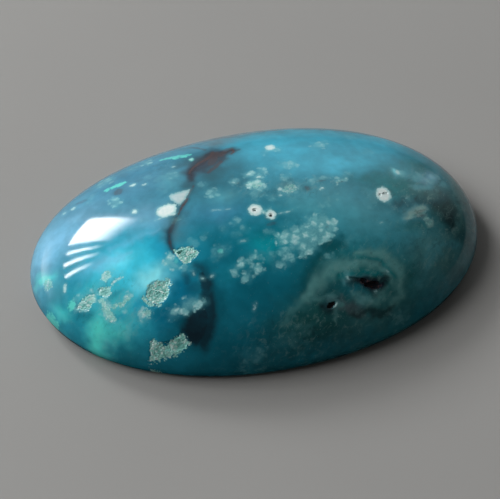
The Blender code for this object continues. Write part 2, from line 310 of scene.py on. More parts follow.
# Pale flaky clouds: (strength, marking)
CLOUD = (
    # Main bank
    (0.76, Patch((
        (1.62, -2.71), (2.19, -2.62), (3.12, -1.94), (4.01, -1.91), (4.65, -2.45), (4.21, -3.34),
        (3.24, -3.80), (2.60, -4.35), (1.90, -4.40), (1.75, -3.60), (0.76, -3.45), (0.76, -2.93),
    ))),
    (0.85, Spot(1.00, -3.10, 0.27, 0.24)),
    (0.65, Spot(1.42, -3.22, 0.22, 0.18)),
    (0.75, Spot(2.05, -3.30, 0.30, 0.28)),
    (0.95, Spot(2.48, -2.72, 0.30, 0.24, 10)),
    (0.70, Spot(2.72, -3.02, 0.20, 0.16)),
    (0.80, Spot(3.12, -3.35, 0.16, 0.10, -20)),
    (0.90, Spot(3.55, -2.62, 0.36, 0.20, 15)),
    (0.85, Spot(3.86, -3.28, 0.24, 0.22)),
    (0.95, Spot(4.20, -2.45, 0.24, 0.20, 20)),
    (0.60, Spot(3.35, -2.15, 0.45, 0.28, 15)),
    (0.45, Spot(2.95, -2.45, 0.55, 0.30, 15)),
    (0.50, Spot(1.65, -2.75, 0.40, 0.22, 20)),
    # Second tier
    (0.60, Spot(0.95, -4.08, 0.42, 0.20, 5)),
    (0.60, Spot(1.42, -3.90, 0.24, 0.16)),
    (0.80, Spot(2.68, -3.72, 0.25, 0.18)),
    (0.70, Spot(2.15, -4.20, 0.28, 0.16)),
    (0.65, Spot(2.85, -4.05, 0.20, 0.14)),
    (0.40, Spot(0.10, -4.25, 0.22, 0.12)),
    (0.55, Spot(0.60, -4.72, 0.36, 0.14, 15)),
    (0.55, Spot(1.15, -4.52, 0.24, 0.12, 20)),
    (0.40, Spot(3.58, -4.78, 0.18, 0.08, 10)),
    # Chain to the left of the bank
    (0.70, Spot(-1.12, -4.04, 0.22, 0.14, 20)),
    (0.55, Spot(-1.60, -4.18, 0.22, 0.10, 10)),
    (0.45, Spot(-0.75, -4.10, 0.16, 0.10)),
    (0.80, Spot(-2.05, -4.42, 0.22, 0.12, 30)),
    (0.55, Spot(-2.45, -4.70, 0.16, 0.07, 15)),
    (0.65, Spot(-0.98, -4.80, 0.24, 0.16, 10)),
    (0.45, Spot(-1.45, -4.90, 0.26, 0.08, 20)),
    (0.65, Spot(-1.74, -5.18, 0.25, 0.16, 15)),
    # Faint flakes near the middle
    (0.45, Spot(-1.60, -1.40, 0.24, 0.11, 35)),
    (0.40, Spot(-1.28, -2.02, 0.14, 0.12, 30)),
    (0.25, Spot(-1.70, -2.30, 0.25, 0.12, 20)),
    (0.30, Spot(-2.50, -1.70, 0.12, 0.14)),
    (0.35, Spot(-3.85, -1.92, 0.12, 0.10)),
    (0.30, Spot(1.45, -2.20, 0.36, 0.13, 30)),
    (0.35, Spot(0.30, -2.52, 0.16, 0.06, 10)),
    (0.35, Spot(4.50, -0.95, 0.45, 0.09, 28)),
    (0.30, Spot(2.30, -0.32, 0.12, 0.10)),
    (0.25, Line(((2.6, -1.05, 0.05), (3.3, -1.22, 0.06), (4.0, -1.55, 0.05), (4.5, -1.9, 0.03)))),
    (0.50, Spot(-2.60, 1.32, 0.30, 0.28)),
    (0.35, Spot(-3.20, 2.20, 0.16, 0.10, -20)),
    # Speckled cluster
    (0.65, Spot(0.10, 2.30, 0.36, 0.20)),
    (0.60, Spot(0.55, 2.05, 0.26, 0.22)),
    (0.55, Spot(0.95, 2.50, 0.18, 0.14)),
    (0.80, Spot(0.20, 1.45, 0.52, 0.25, -3)),
    (0.60, Spot(0.35, 1.00, 0.42, 0.26)),
    (0.35, Spot(0.15, 0.55, 0.28, 0.20)),
    (0.30, Spot(-0.05, 0.15, 0.14, 0.10)),
    (0.35, Spot(1.00, 0.10, 0.12, 0.08)),
    (0.40, Spot(-1.05, 1.92, 0.22, 0.14)),
    (0.45, Spot(2.30, 1.60, 0.20, 0.11, 10)),
    (0.55, Spot(2.95, 2.72, 0.30, 0.26, -20)),
    (0.40, Spot(2.40, 2.78, 0.36, 0.28)),
    (0.30, Spot(1.80, 2.60, 0.10, 0.08)),
    (0.45, Line(((1.55, 4.35, 0.10), (1.80, 4.60, 0.12), (2.40, 4.50, 0.10)))),
    (0.35, Spot(2.30, 0.60, 0.55, 0.40)),
    # Streaks to the right of the middle
    (0.45, Line(((3.80, 1.02, 0.07), (4.30, 1.08, 0.10), (4.80, 1.15, 0.09), (5.15, 1.12, 0.05)))),
    (0.60, Line(((5.50, 0.75, 0.06), (5.75, 0.90, 0.10), (6.05, 1.02, 0.06)))),
    (0.35, Line(((6.05, 1.10, 0.05), (6.35, 1.35, 0.08)))),
    (0.52, Spot(5.30, 4.55, 0.45, 0.24, 10)),
    (0.30, Line(((5.55, 4.70, 0.08), (5.80, 5.00, 0.05)))),
    (0.25, Spot(5.25, -3.80, 0.30, 0.10, 10)),
    (0.25, Spot(8.35, 3.60, 0.30, 0.22, 35)),
    (0.25, Spot(7.70, 5.60, 0.20, 0.30, 0)),
    # Flecks of the left top
    (0.45, Spot(-9.10, 5.60, 0.45, 0.42, 35)),
    (0.50, Spot(-8.80, 5.75, 0.20, 0.25)),
    (0.60, Spot(-8.72, 2.80, 0.24, 0.42, 15)),
    (0.60, Spot(-6.05, 6.35, 0.20, 0.30)),
    (0.35, Spot(-7.05, 6.15, 0.10, 0.20)),
    (0.40, Spot(-4.62, 3.86, 0.30, 0.28)),
    (0.30, Spot(-10.20, 4.30, 0.20, 0.12)),
    (0.35, Spot(-10.42, 3.85, 0.14, 0.12)),
    (0.25, Spot(-6.45, 4.25, 0.14, 0.08)),
    (0.20, Spot(-5.55, 3.30, 0.32, 0.80, 8)),
    (0.30, Spot(-7.20, 0.45, 0.08, 0.10)),
    # Upper left cluster under the highlight
    (0.55, Spot(-10.20, -2.60, 0.28, 0.22, 30)),
    (0.35, Spot(-12.10, -2.45, 0.20, 0.12, 10)),
    (0.55, Line((
        (-12.40, -3.55, 0.10), (-12.25, -3.25, 0.12), (-11.80, -3.20, 0.10), (-11.35, -3.25, 0.13),
    ))),
    (0.60, Line((
        (-11.35, -3.25, 0.13), (-11.25, -3.50, 0.14), (-11.60, -3.70, 0.14), (-12.00, -3.88, 0.12),
    ))),
    (0.35, Spot(-10.60, -3.10, 0.70, 0.22, 15)),
    (0.30, Spot(-9.60, -3.05, 0.40, 0.14, 15)),
    # Wing of the lower left
    (0.65, Line((
        (-10.95, -4.00, 0.10), (-10.55, -4.15, 0.16), (-10.75, -4.50, 0.14), (-10.50, -4.85, 0.15),
    ))),
    (0.55, Line(((-10.50, -4.85, 0.15), (-10.35, -5.15, 0.14)))),
    (0.75, Line(((-10.25, -4.68, 0.08), (-9.80, -4.62, 0.13), (-9.45, -4.52, 0.13), (-9.15, -4.38, 0.07)))),
    (0.50, Line(((-9.85, -4.80, 0.08), (-9.45, -4.92, 0.10), (-9.20, -4.62, 0.08)))),
    (0.30, Spot(-9.30, -5.68, 0.40, 0.20, 5)),
    (0.25, Spot(-10.00, -5.75, 0.35, 0.20, -10)),
    (0.35, Spot(-9.60, -6.15, 0.25, 0.16, -20)),
    (0.65, Spot(-8.45, -5.65, 0.32, 0.20, -30)),
    (0.30, Line(((-11.15, -5.95, 0.07), (-10.70, -6.25, 0.09)))),
    # Pale wing over the smoke
    (0.78, Patch((
        (-6.12, -6.15), (-5.95, -5.78), (-5.45, -5.62), (-5.20, -5.72), (-4.90, -5.92), (-4.62, -6.06),
        (-5.05, -6.20), (-5.45, -6.25), (-5.75, -6.32),
    ))),
    (0.60, Spot(-6.55, -6.10, 0.35, 0.14, 10)),
    # Round the druzy patches
    (0.85, Line(((-6.20, -2.72, 0.12), (-6.32, -3.02, 0.15), (-6.08, -3.30, 0.15), (-5.88, -3.55, 0.10)))),
    (0.45, Spot(-5.30, -3.66, 0.12, 0.08)),
    (0.45, Spot(-5.42, -3.92, 0.12, 0.07)),
    (0.40, Spot(-5.14, -3.94, 0.10, 0.07)),
    (0.35, Spot(-4.60, -2.20, 0.28, 0.22)),
    (0.35, Ring(-3.00, -3.20, 0.26, 0.09)),
    (0.60, Line(((-3.20, -3.30, 0.05), (-3.02, -3.40, 0.07), (-2.84, -3.32, 0.05)))),
    (0.30, Spot(-3.35, -3.48, 0.20, 0.10, 35)),
    (0.30, Spot(-2.70, -3.00, 0.22, 0.07, 15)),
    (0.55, Spot(0.42, -0.95, 0.16, 0.12)),
    (0.35, Spot(-5.20, -0.18, 0.20, 0.06, 5)),
    # Right end
    (0.30, Spot(10.25, 1.35, 0.30, 0.20)),
    (0.35, Spot(11.20, 1.15, 0.42, 0.26, 20)),
    (0.45, Spot(12.30, 1.15, 0.30, 0.60, -35)),
    (0.30, Line(((10.50, 0.05, 0.10), (11.20, 0.25, 0.12), (11.80, 0.35, 0.10), (12.10, 0.80, 0.10)))),
    (0.30, Spot(12.90, 0.70, 0.20, 0.30, -30)),
    (0.40, Spot(9.95, -1.05, 0.18, 0.08, 25)),
    (0.25, Spot(7.45, -0.95, 0.20, 0.55, -35)),
    (0.20, Spot(7.28, -0.16, 0.12, 0.08)),
    # Agate eye and the lower rim
    (0.30, Spot(5.30, -7.30, 0.35, 0.10, 10)),
    (0.35, Ring(4.55, -6.10, 0.16, 0.06)),
    (0.30, Spot(3.25, -7.30, 0.25, 0.08, 15)),
    (0.35, Spot(7.70, -7.95, 0.30, 0.06, 15)),
    (0.35, Spot(-2.20, -9.02, 0.35, 0.06)),
    (0.20, Spot(0.30, -8.80, 0.60, 0.10)),
    (0.20, Spot(0.90, -8.50, 0.50, 0.08, 5)),
    (0.25, Line(((9.80, -5.50, 0.05), (10.30, -5.20, 0.08), (11.00, -4.60, 0.06)))),
    (0.20, Spot(13.10, -4.30, 0.12, 0.35, -35)),
    (0.20, Spot(9.20, -6.50, 0.40, 0.10, 30)),
    (0.20, Spot(14.30, -2.40, 0.10, 0.40, -15)),
)

# Sugary druzy patches: (strength, marking). Those stronger than the raised strength have real grains,
# and the sugar scale is their number in a millimetre.
RAISED_STRENGTH = 0.75
SUGAR_SCALE = 6.5
DRUSE = (
    (1.00, Spot(-7.36, -4.70, 0.78, 0.70, 0)),
    (0.90, Line(((-8.28, -4.75, 0.10), (-8.10, -5.15, 0.14), (-7.70, -5.42, 0.12), (-7.30, -5.50, 0.08)))),
    (0.80, Spot(-6.62, -4.35, 0.22, 0.28)),
    (1.00, Patch((
        (-5.86, -2.36), (-5.45, -2.28), (-5.00, -2.32), (-4.62, -2.55), (-4.32, -2.86), (-4.55, -3.18),
        (-5.00, -3.52), (-5.48, -3.50), (-5.62, -3.18), (-5.90, -2.62),
    ))),
    (1.00, Patch((
        (-8.56, -7.60), (-8.36, -7.03), (-8.10, -6.95), (-7.85, -7.22), (-7.41, -7.38), (-6.87, -7.33),
        (-6.25, -7.20), (-6.08, -7.56), (-5.86, -7.86), (-6.44, -7.98), (-6.91, -8.04), (-7.42, -7.94),
        (-8.29, -7.74),
    ))),
    (0.85, Patch((
        (-10.98, -3.30), (-10.80, -3.16), (-10.40, -3.22), (-10.08, -3.50), (-10.22, -3.86), (-10.60, -3.92),
        (-10.90, -3.68),
    ))),
    (0.60, Line(((-10.10, -3.30, 0.10), (-9.70, -3.10, 0.10), (-9.30, -3.10, 0.06)))),
    (0.85, Patch((
        (-12.45, -3.62), (-12.10, -3.30), (-11.50, -3.22), (-11.15, -3.42), (-11.25, -3.80), (-11.75, -4.08),
        (-12.20, -3.95),
    ))),
    (0.55, Spot(-13.95, -1.15, 0.28, 0.42, 20)),
    (0.74, Line((
        (-10.83, -3.95, 0.16), (-10.65, -4.59, 0.22), (-10.45, -5.13, 0.20), (-10.20, -5.30, 0.10),
    ))),
    (0.74, Line(((-10.20, -4.62, 0.08), (-9.64, -4.65, 0.16), (-9.22, -4.46, 0.14)))),
    (0.70, Spot(-10.30, -2.60, 0.40, 0.32, 20)),
    (0.70, Spot(-8.30, -5.66, 0.34, 0.20, -20)),
    (0.55, Spot(0.25, 1.35, 0.50, 0.28, -3)),
    (0.45, Spot(2.35, 0.55, 0.50, 0.36, 10)),
    (0.20, Spot(10.20, -2.10, 0.75, 0.22, 25)),
    (0.16, Spot(10.60, -1.60, 0.40, 0.18, 20)),
    (0.30, Ring(10.86, -2.50, 0.22, 0.08)),
    (0.35, Spot(5.70, 0.72, 0.28, 0.09, 20)),
)

# Bright turquoise: (strength, marking)
TURQUOISE = (
    (0.85, Spot(-8.30, 4.50, 0.52, 0.16, 6)),
    (0.75, Spot(-9.05, 4.40, 0.17, 0.15)),
    (0.80, Spot(-3.62, 5.78, 0.18, 0.17)),
    (0.80, Spot(-4.20, 5.86, 0.20, 0.14, 10)),
    (0.65, Line(((-5.14, 6.13, 0.05), (-4.43, 6.05, 0.11), (-3.79, 5.98, 0.11), (-3.20, 5.80, 0.06)))),
    (0.60, Spot(-3.25, 5.15, 0.12, 0.14)),
    (0.85, Spot(-12.71, -3.32, 0.20, 0.24, 15)),
    (0.45, Spot(-11.55, -3.50, 0.18, 0.12)),
    (0.75, Line(((-14.30, -2.54, 0.06), (-14.05, -3.05, 0.10), (-13.80, -3.47, 0.07)))),
    (0.45, Spot(-14.10, -0.70, 0.45, 0.20, -30)),
    (0.45, Spot(-3.00, -3.20, 0.13, 0.12)),
    (0.30, Spot(-5.85, -3.12, 0.10, 0.16)),
    (0.35, Spot(-4.85, -3.12, 0.12, 0.10)),
)

# Rust and brown lines and stains: (strength, marking)
RUST = (
    # Vein from the far rim to the white blob
    (0.85, Line(((-0.42, 5.45, 0.05), (-0.42, 5.05, 0.09), (-0.62, 4.85, 0.06)))),
    (0.45, Line(((-0.45, 5.55, 0.12), (-0.80, 5.50, 0.16), (-1.30, 4.90, 0.18)))),
    (0.70, Line(((-1.72, 5.50, 0.12), (-1.85, 5.12, 0.18), (-2.25, 4.82, 0.14), (-2.95, 4.42, 0.09)))),
    (0.70, Line(((-2.95, 4.42, 0.09), (-3.32, 4.15, 0.08), (-3.70, 3.60, 0.06)))),
    (0.40, Line(((-1.62, 5.25, 0.25), (-1.90, 4.60, 0.30), (-2.10, 4.20, 0.25)))),
    (0.55, Line(((-1.42, 4.20, 0.10), (-1.90, 3.72, 0.14), (-2.45, 3.32, 0.10)))),
    (0.75, Line(((-3.62, 2.30, 0.03), (-4.00, 1.80, 0.04), (-4.20, 1.45, 0.05), (-4.50, 1.05, 0.07)))),
    (0.85, Line(((-4.25, 1.25, 0.07), (-4.50, 0.98, 0.09), (-4.75, 0.65, 0.08), (-5.05, 0.20, 0.06)))),
    (0.30, Line(((-5.25, -0.10, 0.10), (-5.60, -0.60, 0.12), (-5.85, -1.00, 0.12)))),
    (0.55, Line(((-5.95, -1.30, 0.05), (-5.98, -1.80, 0.07), (-5.97, -2.30, 0.05)))),
    (0.45, Line(((-3.12, 7.01, 0.05), (-2.61, 6.64, 0.07), (-2.16, 6.03, 0.08)))),
    # Rust slits of the druzy patch
    (0.90, Spot(-5.50, -2.58, 0.12, 0.05, 5)),
    (0.90, Spot(-5.45, -2.84, 0.14, 0.04, 5)),
    (0.35, Spot(-5.88, -2.50, 0.08, 0.12)),
    (0.30, Spot(-4.75, -2.45, 0.12, 0.06)),
    (0.35, Spot(-4.45, -2.86, 0.10, 0.07)),
    # Stains
    (0.40, Spot(-8.40, 3.75, 0.28, 0.32, -30)),
    (0.25, Spot(-10.80, 4.25, 0.40, 0.16, -10)),
    (0.40, Spot(-10.72, -3.42, 0.10, 0.08)),
    (0.30, Spot(0.55, -2.00, 0.32, 0.12, 5)),
    (0.40, Spot(-0.38, 1.42, 0.05, 0.06)),
    (0.35, Spot(0.40, 1.22, 0.16, 0.06)),
    (0.30, Spot(-0.85, 1.75, 0.07, 0.06)),
    (0.40, Spot(3.45, 0.40, 0.08, 0.09)),
    (0.30, Ring(3.45, 0.40, 0.15, 0.05)),
    (0.30, Spot(4.50, 0.92, 0.30, 0.05, 5)),
    (0.30, Spot(5.70, 0.66, 0.24, 0.05, 15)),
    (0.30, Spot(10.50, -1.85, 0.40, 0.09, 25)),
    (0.30, Spot(10.40, -2.20, 0.30, 0.07, 20)),
    (0.30, Spot(4.05, -2.75, 0.10, 0.05)),
    (0.60, Line(((5.35, -6.45, 0.05), (5.70, -6.40, 0.10), (6.15, -6.55, 0.12), (6.60, -6.62, 0.05)))),
    (0.45, Spot(6.15, -6.78, 0.16, 0.06, -8)),
)

# Black and smoky marks: (strength, marking)
SMOKE = (
    (0.80, Line((
        (-4.35, -4.40, 0.10), (-4.32, -5.00, 0.26), (-4.42, -5.60, 0.24), (-4.48, -6.20, 0.34),
        (-4.55, -6.80, 0.38), (-4.75, -7.40, 0.34), (-5.10, -7.90, 0.26),
    ))),
    (0.90, Patch((
        (-5.65, -6.48), (-5.30, -6.34), (-4.60, -6.28), (-4.25, -6.40), (-4.25, -6.80), (-4.40, -7.25),
        (-4.60, -7.60), (-5.00, -7.90), (-5.60, -7.90), (-5.90, -7.65), (-6.00, -7.40), (-6.20, -7.12),
        (-6.00, -7.00), (-5.80, -6.80),
    ))),
    (0.55, Line(((-4.75, -3.76, 0.03), (-4.45, -3.92, 0.05), (-4.28, -4.28, 0.07), (-4.22, -4.65, 0.10)))),
    (0.55, Line(((-5.48, -4.15, 0.04), (-5.40, -4.40, 0.08), (-5.42, -4.68, 0.04)))),
    (0.40, Spot(-4.80, -4.15, 0.24, 0.07, 14)),
    (0.35, Spot(-5.10, -5.10, 0.40, 0.22, -10)),
    (0.45, Line(((-5.20, 0.00, 0.02), (-5.60, -0.60, 0.04), (-5.95, -1.30, 0.06), (-5.98, -2.30, 0.05)))),
    # Dark band of the vein
    (0.55, Line(((-3.60, 3.75, 0.04), (-3.30, 4.35, 0.08), (-2.75, 4.92, 0.10), (-1.95, 5.36, 0.12)))),
    (0.55, Line(((-1.95, 5.36, 0.12), (-1.45, 4.95, 0.10), (-0.87, 5.04, 0.10), (-0.35, 5.38, 0.12)))),
    # Holes and cracks
    (0.80, Spot(-0.26, -0.72, 0.09, 0.09)),
    (0.70, Line(((-0.42, -0.74, 0.03), (-0.26, -0.72, 0.05), (-0.14, -0.66, 0.03)))),
    (0.60, Line(((-0.27, -0.60, 0.03), (-0.26, -0.84, 0.03)))),
    (1.00, Spot(0.65, -1.34, 0.13, 0.12)),
    (0.70, Line(((7.98, -0.62, 0.03), (8.10, -0.56, 0.06), (8.20, -0.52, 0.03)))),
    (0.75, Line(((8.28, -0.46, 0.03), (8.45, -0.46, 0.05), (8.68, -0.38, 0.04)))),
    (0.30, Line(((8.26, -0.52, 0.02), (8.18, -0.78, 0.02), (8.15, -0.92, 0.01)))),
    (0.90, Line(((4.65, -6.38, 0.03), (4.95, -6.32, 0.05), (5.30, -6.36, 0.05), (5.60, -6.40, 0.08)))),
    (1.00, Patch((
        (5.42, -6.50), (5.60, -6.38), (5.82, -6.32), (6.28, -6.42), (6.62, -6.58), (6.95, -6.36),
        (6.85, -6.60), (6.45, -6.80), (6.05, -6.98), (5.88, -6.80),
    ))),
    (0.90, Patch((
        (2.55, -7.55), (2.80, -7.52), (3.00, -7.35), (3.30, -7.32), (3.60, -7.28), (3.35, -7.55),
        (3.15, -7.72), (2.88, -7.72),
    ))),
    (0.45, Spot(6.85, -6.30, 0.22, 0.07, 25)),
    (0.30, Spot(3.42, 0.38, 0.05, 0.05)),
)

# Finely mottled ground: (strength, marking)
MOTTLE = (
    (1.00, Spot(11.6, -1.6, 2.6, 2.6, 20)),
    (0.70, Spot(10.6, -4.6, 2.6, 1.6, 25)),
    (0.80, Spot(12.4, 1.0, 1.6, 1.2, -30)),
    (1.00, Spot(1.6, -8.4, 3.6, 0.9, 5)),
    (0.80, Spot(2.8, -7.4, 1.6, 0.7, 20)),
    (0.80, Spot(6.0, -6.2, 2.2, 1.7, -5)),
    (0.80, Spot(0.3, 1.4, 1.0, 1.0, 0)),
    (0.90, Spot(3.0, 0.5, 1.7, 0.7, 5)),
    (0.60, Spot(5.2, 0.8, 1.2, 0.4, 10)),
    (0.90, Spot(-10.6, -3.9, 1.8, 1.1, -10)),
    (0.70, Spot(-9.4, -5.6, 1.5, 0.8, -10)),
    (0.50, Spot(2.4, -3.2, 2.0, 1.0, 15)),
    (0.40, Spot(-5.2, 5.4, 1.4, 0.6, 10)),
)

# Open pits, cut as in the solid.
# Each is (x, y, half length, half width, depth, turn in degrees, roughness share), in millimetres.
# Their outlines have broad lumps, in bends in a pit's half size, and crumbs, in bends in a millimetre.
PIT_LUMPS = 1.7
PIT_CRUMBS = 9
PIT_CRUMB_SHARE = 0.5
PITS = (
    (6.15, -6.62, 0.62, 0.25, 0.34, -10, 0.28),
    (5.58, -6.37, 0.27, 0.17, 0.20, -30, 0.25),
    (4.98, -6.17, 0.36, 0.07, 0.10, -14, 0.15),
    (3.20, -7.50, 0.31, 0.20, 0.24, 25, 0.28),
    (-0.26, -0.72, 0.15, 0.11, 0.16, 10, 0.22),
    (0.66, -1.33, 0.15, 0.13, 0.18, 35, 0.18),
    (8.10, -0.56, 0.12, 0.09, 0.09, 30, 0.20),
    (8.47, -0.45, 0.23, 0.08, 0.09, 8, 0.20),
    (-5.50, -2.62, 0.19, 0.11, 0.14, 5, 0.24),
    (-7.35, -4.68, 0.74, 0.70, 0.09, 0, 0.10),
    (-7.05, -7.62, 0.95, 0.40, 0.09, -8, 0.10),
)

# Families of markings with hard edges, each a pair of attributes: its depth in and its strength.
# A depth stops at the deepest, in millimetres.
FAMILIES = {
    "snow": SNOW_AND_PAINTED_GLINT,
    "cloud": CLOUD,
    "druse": DRUSE,
    "turquoise": TURQUOISE,
    "rust": RUST,
    "smoke": SMOKE,
}
DEEPEST = 1.0


class StoneSizes(bpy.types.PropertyGroup):
    """Sizes of the stone and of its mesh."""

    length: FloatProperty(
        name="Length", description="Length of the oval", unit="LENGTH",
        default=stone_high[0] - stone_low[0],
    )
    width: FloatProperty(
        name="Width", description="Width of the oval", unit="LENGTH",
        default=stone_high[1] - stone_low[1],
    )
    height: FloatProperty(
        name="Height", description="Height from the flat back to the top of the dome", unit="LENGTH",
        default=stone_high[2] - stone_low[2],
    )
    girdle_height: FloatProperty(
        name="Girdle height", description="Height at which the dome begins", unit="LENGTH", default=0.0011,
    )
    girdle_turn_height: FloatProperty(
        name="Girdle turn height", description="Height at which the girdle turns in", unit="LENGTH",
        default=0.00046,
    )
    girdle_turn_share: FloatProperty(
        name="Girdle turn share", description="Outline of the girdle turn as a share of the widest",
        subtype="FACTOR", min=0.5, max=1.0, default=0.9855,
    )
    back_share: FloatProperty(
        name="Back share", description="Outline of the flat back as a share of the widest",
        subtype="FACTOR", min=0.5, max=1.0, default=0.955,
    )
    faces_along: IntProperty(
        name="Faces along", description="Faces along the top of the dome", min=20, default=224,
    )
    faces_across: IntProperty(
        name="Faces across", description="Faces across the top of the dome", min=12, default=140,
    )
    faces_up: IntProperty(
        name="Faces up", description="Faces up the side of the dome", min=6, default=52,
    )
    fine_cuts: IntProperty(
        name="Fine cuts", description="Cuts of each edge in the pits and druzy patches", min=0, default=2,
    )
    grain_height: FloatProperty(
        name="Grain height", description="Height of the druzy grains", unit="LENGTH", default=0.00007,
    )


def colour_property(name, description, default):
    """A colour that a user can change."""
    return FloatVectorProperty(name=name, description=description, subtype="COLOR", default=default)


class StoneColours(bpy.types.PropertyGroup):
    """Colours of the stone, and of the glow and reflections painted on it."""

    teal: colour_property("Teal", "Body of the stone", (0.012, 0.180, 0.250))
    deep: colour_property("Deep", "Deep blue teal", (0.004, 0.125, 0.180))
    abyss: colour_property("Abyss", "Dark teal", (0.004, 0.065, 0.090))
    ink: colour_property("Ink", "Nearly black green", (0.010, 0.022, 0.026))
    cobalt: colour_property("Cobalt", "Deep saturated blue", (0.002, 0.130, 0.225))
    azure: colour_property("Azure", "Saturated blue", (0.006, 0.300, 0.480))
    # Painted glow: the window light that comes through the stone and out at its left end
    painted_glow_cyan: colour_property("Cyan", "Bright glowing cyan", (0.035, 0.580, 0.780))
    aqua: colour_property("Aqua", "Bright green blue", (0.060, 0.560, 0.620))
    # Painted glow at the left end, where the window light comes through the stone; at the right end the
    # stone's own pale colour
    frost_and_painted_glow: colour_property("Frost", "Whitish cyan glow", (0.260, 0.860, 0.970))
    sky: colour_property("Sky", "Milky sky blue", (0.032, 0.362, 0.512))
    milk: colour_property("Milk", "Paler milky blue", (0.060, 0.415, 0.570))
    steel: colour_property("Steel", "Greyish blue", (0.056, 0.235, 0.360))
    # Partly painted reflection: at the left end the pale veil round the window highlight; at the right end a
    # pale marking of the stone
    mist_and_painted_reflection: colour_property("Mist", "Pale greyish blue", (0.200, 0.470, 0.670))
    pale: colour_property("Pale", "Pale teal", (0.080, 0.340, 0.400))
    fog: colour_property("Fog", "Greyish milky teal", (0.065, 0.300, 0.365))
    slate: colour_property("Slate", "Grey teal", (0.065, 0.190, 0.195))
    sage: colour_property("Sage", "Grey green of the agate rings", (0.088, 0.262, 0.262))
    moss: colour_property("Moss", "Dark grey green", (0.015, 0.095, 0.090))
    bottle: colour_property("Bottle", "Bottle green", (0.004, 0.155, 0.170))
    sea: colour_property("Sea", "Green turquoise glow", (0.004, 0.280, 0.330))
    # Partly painted glow: the near left spot and the left rim line are window light coming through the stone;
    # elsewhere the stone's own green
    jade_and_painted_glow: colour_property("Jade", "Luminous green", (0.105, 0.780, 0.710))
    clay: colour_property("Clay", "Brownish grey", (0.095, 0.125, 0.140))
    plum: colour_property("Plum", "Nearly black violet", (0.012, 0.020, 0.038))
    lichen: colour_property("Lichen", "Pale grey green flecks", (0.220, 0.380, 0.360))
    fern: colour_property("Fern", "Green between the druzy grains", (0.050, 0.300, 0.250))
    celadon: colour_property("Celadon", "Hearts of the druzy patches", (0.130, 0.400, 0.370))
    # Also the painted reflection in the lower vug
    snow: colour_property("Snow", "White spots", (0.780, 0.860, 0.840))
    cloud: colour_property("Cloud", "Flaky clouds", (0.240, 0.590, 0.610))
    druse: colour_property("Druse", "Sugary druzy patches", (0.330, 0.700, 0.630))
    turquoise: colour_property("Turquoise", "Turquoise streaks", (0.120, 0.680, 0.600))
    rust: colour_property("Rust", "Brown vein and stains", (0.066, 0.031, 0.028))
    smoke: colour_property("Smoke", "Black smoky marks", (0.009, 0.014, 0.021))


class StudioSettings(bpy.types.PropertyGroup):
    """Floor, lights and camera."""

    floor_colour: colour_property("Floor", "Colour of the floor", (0.33, 0.327, 0.318))
    floor_size: FloatProperty(
        name="Floor size", description="Side of the square floor", unit="LENGTH", default=6.0,
    )
    room_light: FloatProperty(
        name="Room light", description="Strength of the even light from all round", min=0.0, default=0.09,
    )
    window_light: FloatProperty(
        name="Window light", description="Brightness of the window panes", min=0.0, default=22.0,
    )
    soft_light: FloatProperty(
        name="Soft light", description="Brightness of the soft light round the window", min=0.0, default=4.0,
    )
    wall_light: FloatProperty(
        name="Wall light", description="Brightness of the pale wall behind the stone", min=0.0, default=0.58,
    )
    sill_light: FloatProperty(
        name="Sill light", description="Brightness of the sill below the window", min=0.0, default=2.2,
    )
    camera_distance: FloatProperty(
        name="Camera distance", description="Distance from the camera to what it looks at", unit="LENGTH",
        default=0.12084,
    )
    camera_turn: FloatProperty(
        name="Camera turn", description="Turn of the camera round the stone", subtype="ANGLE",
        default=math.radians(-12.32),
    )
    camera_rise: FloatProperty(
        name="Camera rise", description="Angle of the camera above the floor", subtype="ANGLE",
        default=math.radians(52.0),
    )
    lens: FloatProperty(
        name="Lens", description="Focal length in millimetres", min=10.0, default=129.45,
    )


# Shape of the stone

# The outline is cut by hand, so it leaves the true ellipse a little.
# Each wave is (waves in one turn, cosine part, sine part), as shares of the radius.
OUTLINE_WAVES = ((3, -0.0047, 0.0054), (4, -0.0071, -0.0030))
EGG_SHARE = 0.004
OUTLINE_SAMPLES = 720
# Keeps the finished stone just inside its model, in metres
OUTLINE_INSET = 2e-6
# Keeps divisions away from zero
TINY = 1e-9
# The half box is two wide and one high, so an edge longer than this isn't cut yet
UNCUT_EDGE = 0.5
# The finer mesh reaches this far past a marking, and past a pit by the margin more, in millimetres
FINE_REACH = 0.06
PIT_MARGIN = 0.12
# Druzy grains: the share taken off their heights, their broad swell and its bends in a millimetre, and
# the width over which they fade out, in millimetres
GRAIN_DROP = 0.45
GRAIN_SWELL = 0.4
GRAIN_SWELL_SCALE = 3.1
GRAIN_FADE = 0.1
SHARP_ANGLE = math.radians(38)


def raw_outline(angle):
    """Points of the hand-cut oval before it is fitted to its length and width, as shares of them."""
    radius = 1.0
    for waves, cosine_part, sine_part in OUTLINE_WAVES:
        radius = radius + cosine_part * np.cos(waves * angle) + sine_part * np.sin(waves * angle)
    x = radius * np.cos(angle)
    y = radius * np.sin(angle)
    return x, y * (1 + EGG_SHARE * x)


def outline(angle, sizes):
    """Points of the widest outline about its own middle, in metres, kept just inside the model."""
    samples = raw_outline(np.arange(OUTLINE_SAMPLES) * math.tau / OUTLINE_SAMPLES)
    fitted = []
    for values, ends, size in zip(raw_outline(angle), samples, (sizes.length, sizes.width)):
        middle = (ends.max() + ends.min()) / 2
        fitted.append((values - middle) / (ends.max() - ends.min()) * (size - 2 * OUTLINE_INSET))
    return fitted


def read_points(shape):
    """The places of a bmesh's vertices, as an array."""
    return np.array([vertex.co[:] for vertex in shape.verts])


def move_points(shape, points):
    """Put a bmesh's vertices at these places."""
    for vertex, point in zip(shape.verts, points.tolist()):
        vertex.co = point


def on_dome(balls, sizes):
    """Places on the dome for places on a half ball of radius one."""
    share = np.hypot(balls[:, 0], balls[:, 1])
    x, y = outline(np.arctan2(balls[:, 1], balls[:, 0]), sizes)
    rise = sizes.height - sizes.girdle_height
    height = sizes.girdle_height + rise * balls[:, 2]
    return np.column_stack((MIDDLE[0] + x * share, MIDDLE[1] + y * share, height))


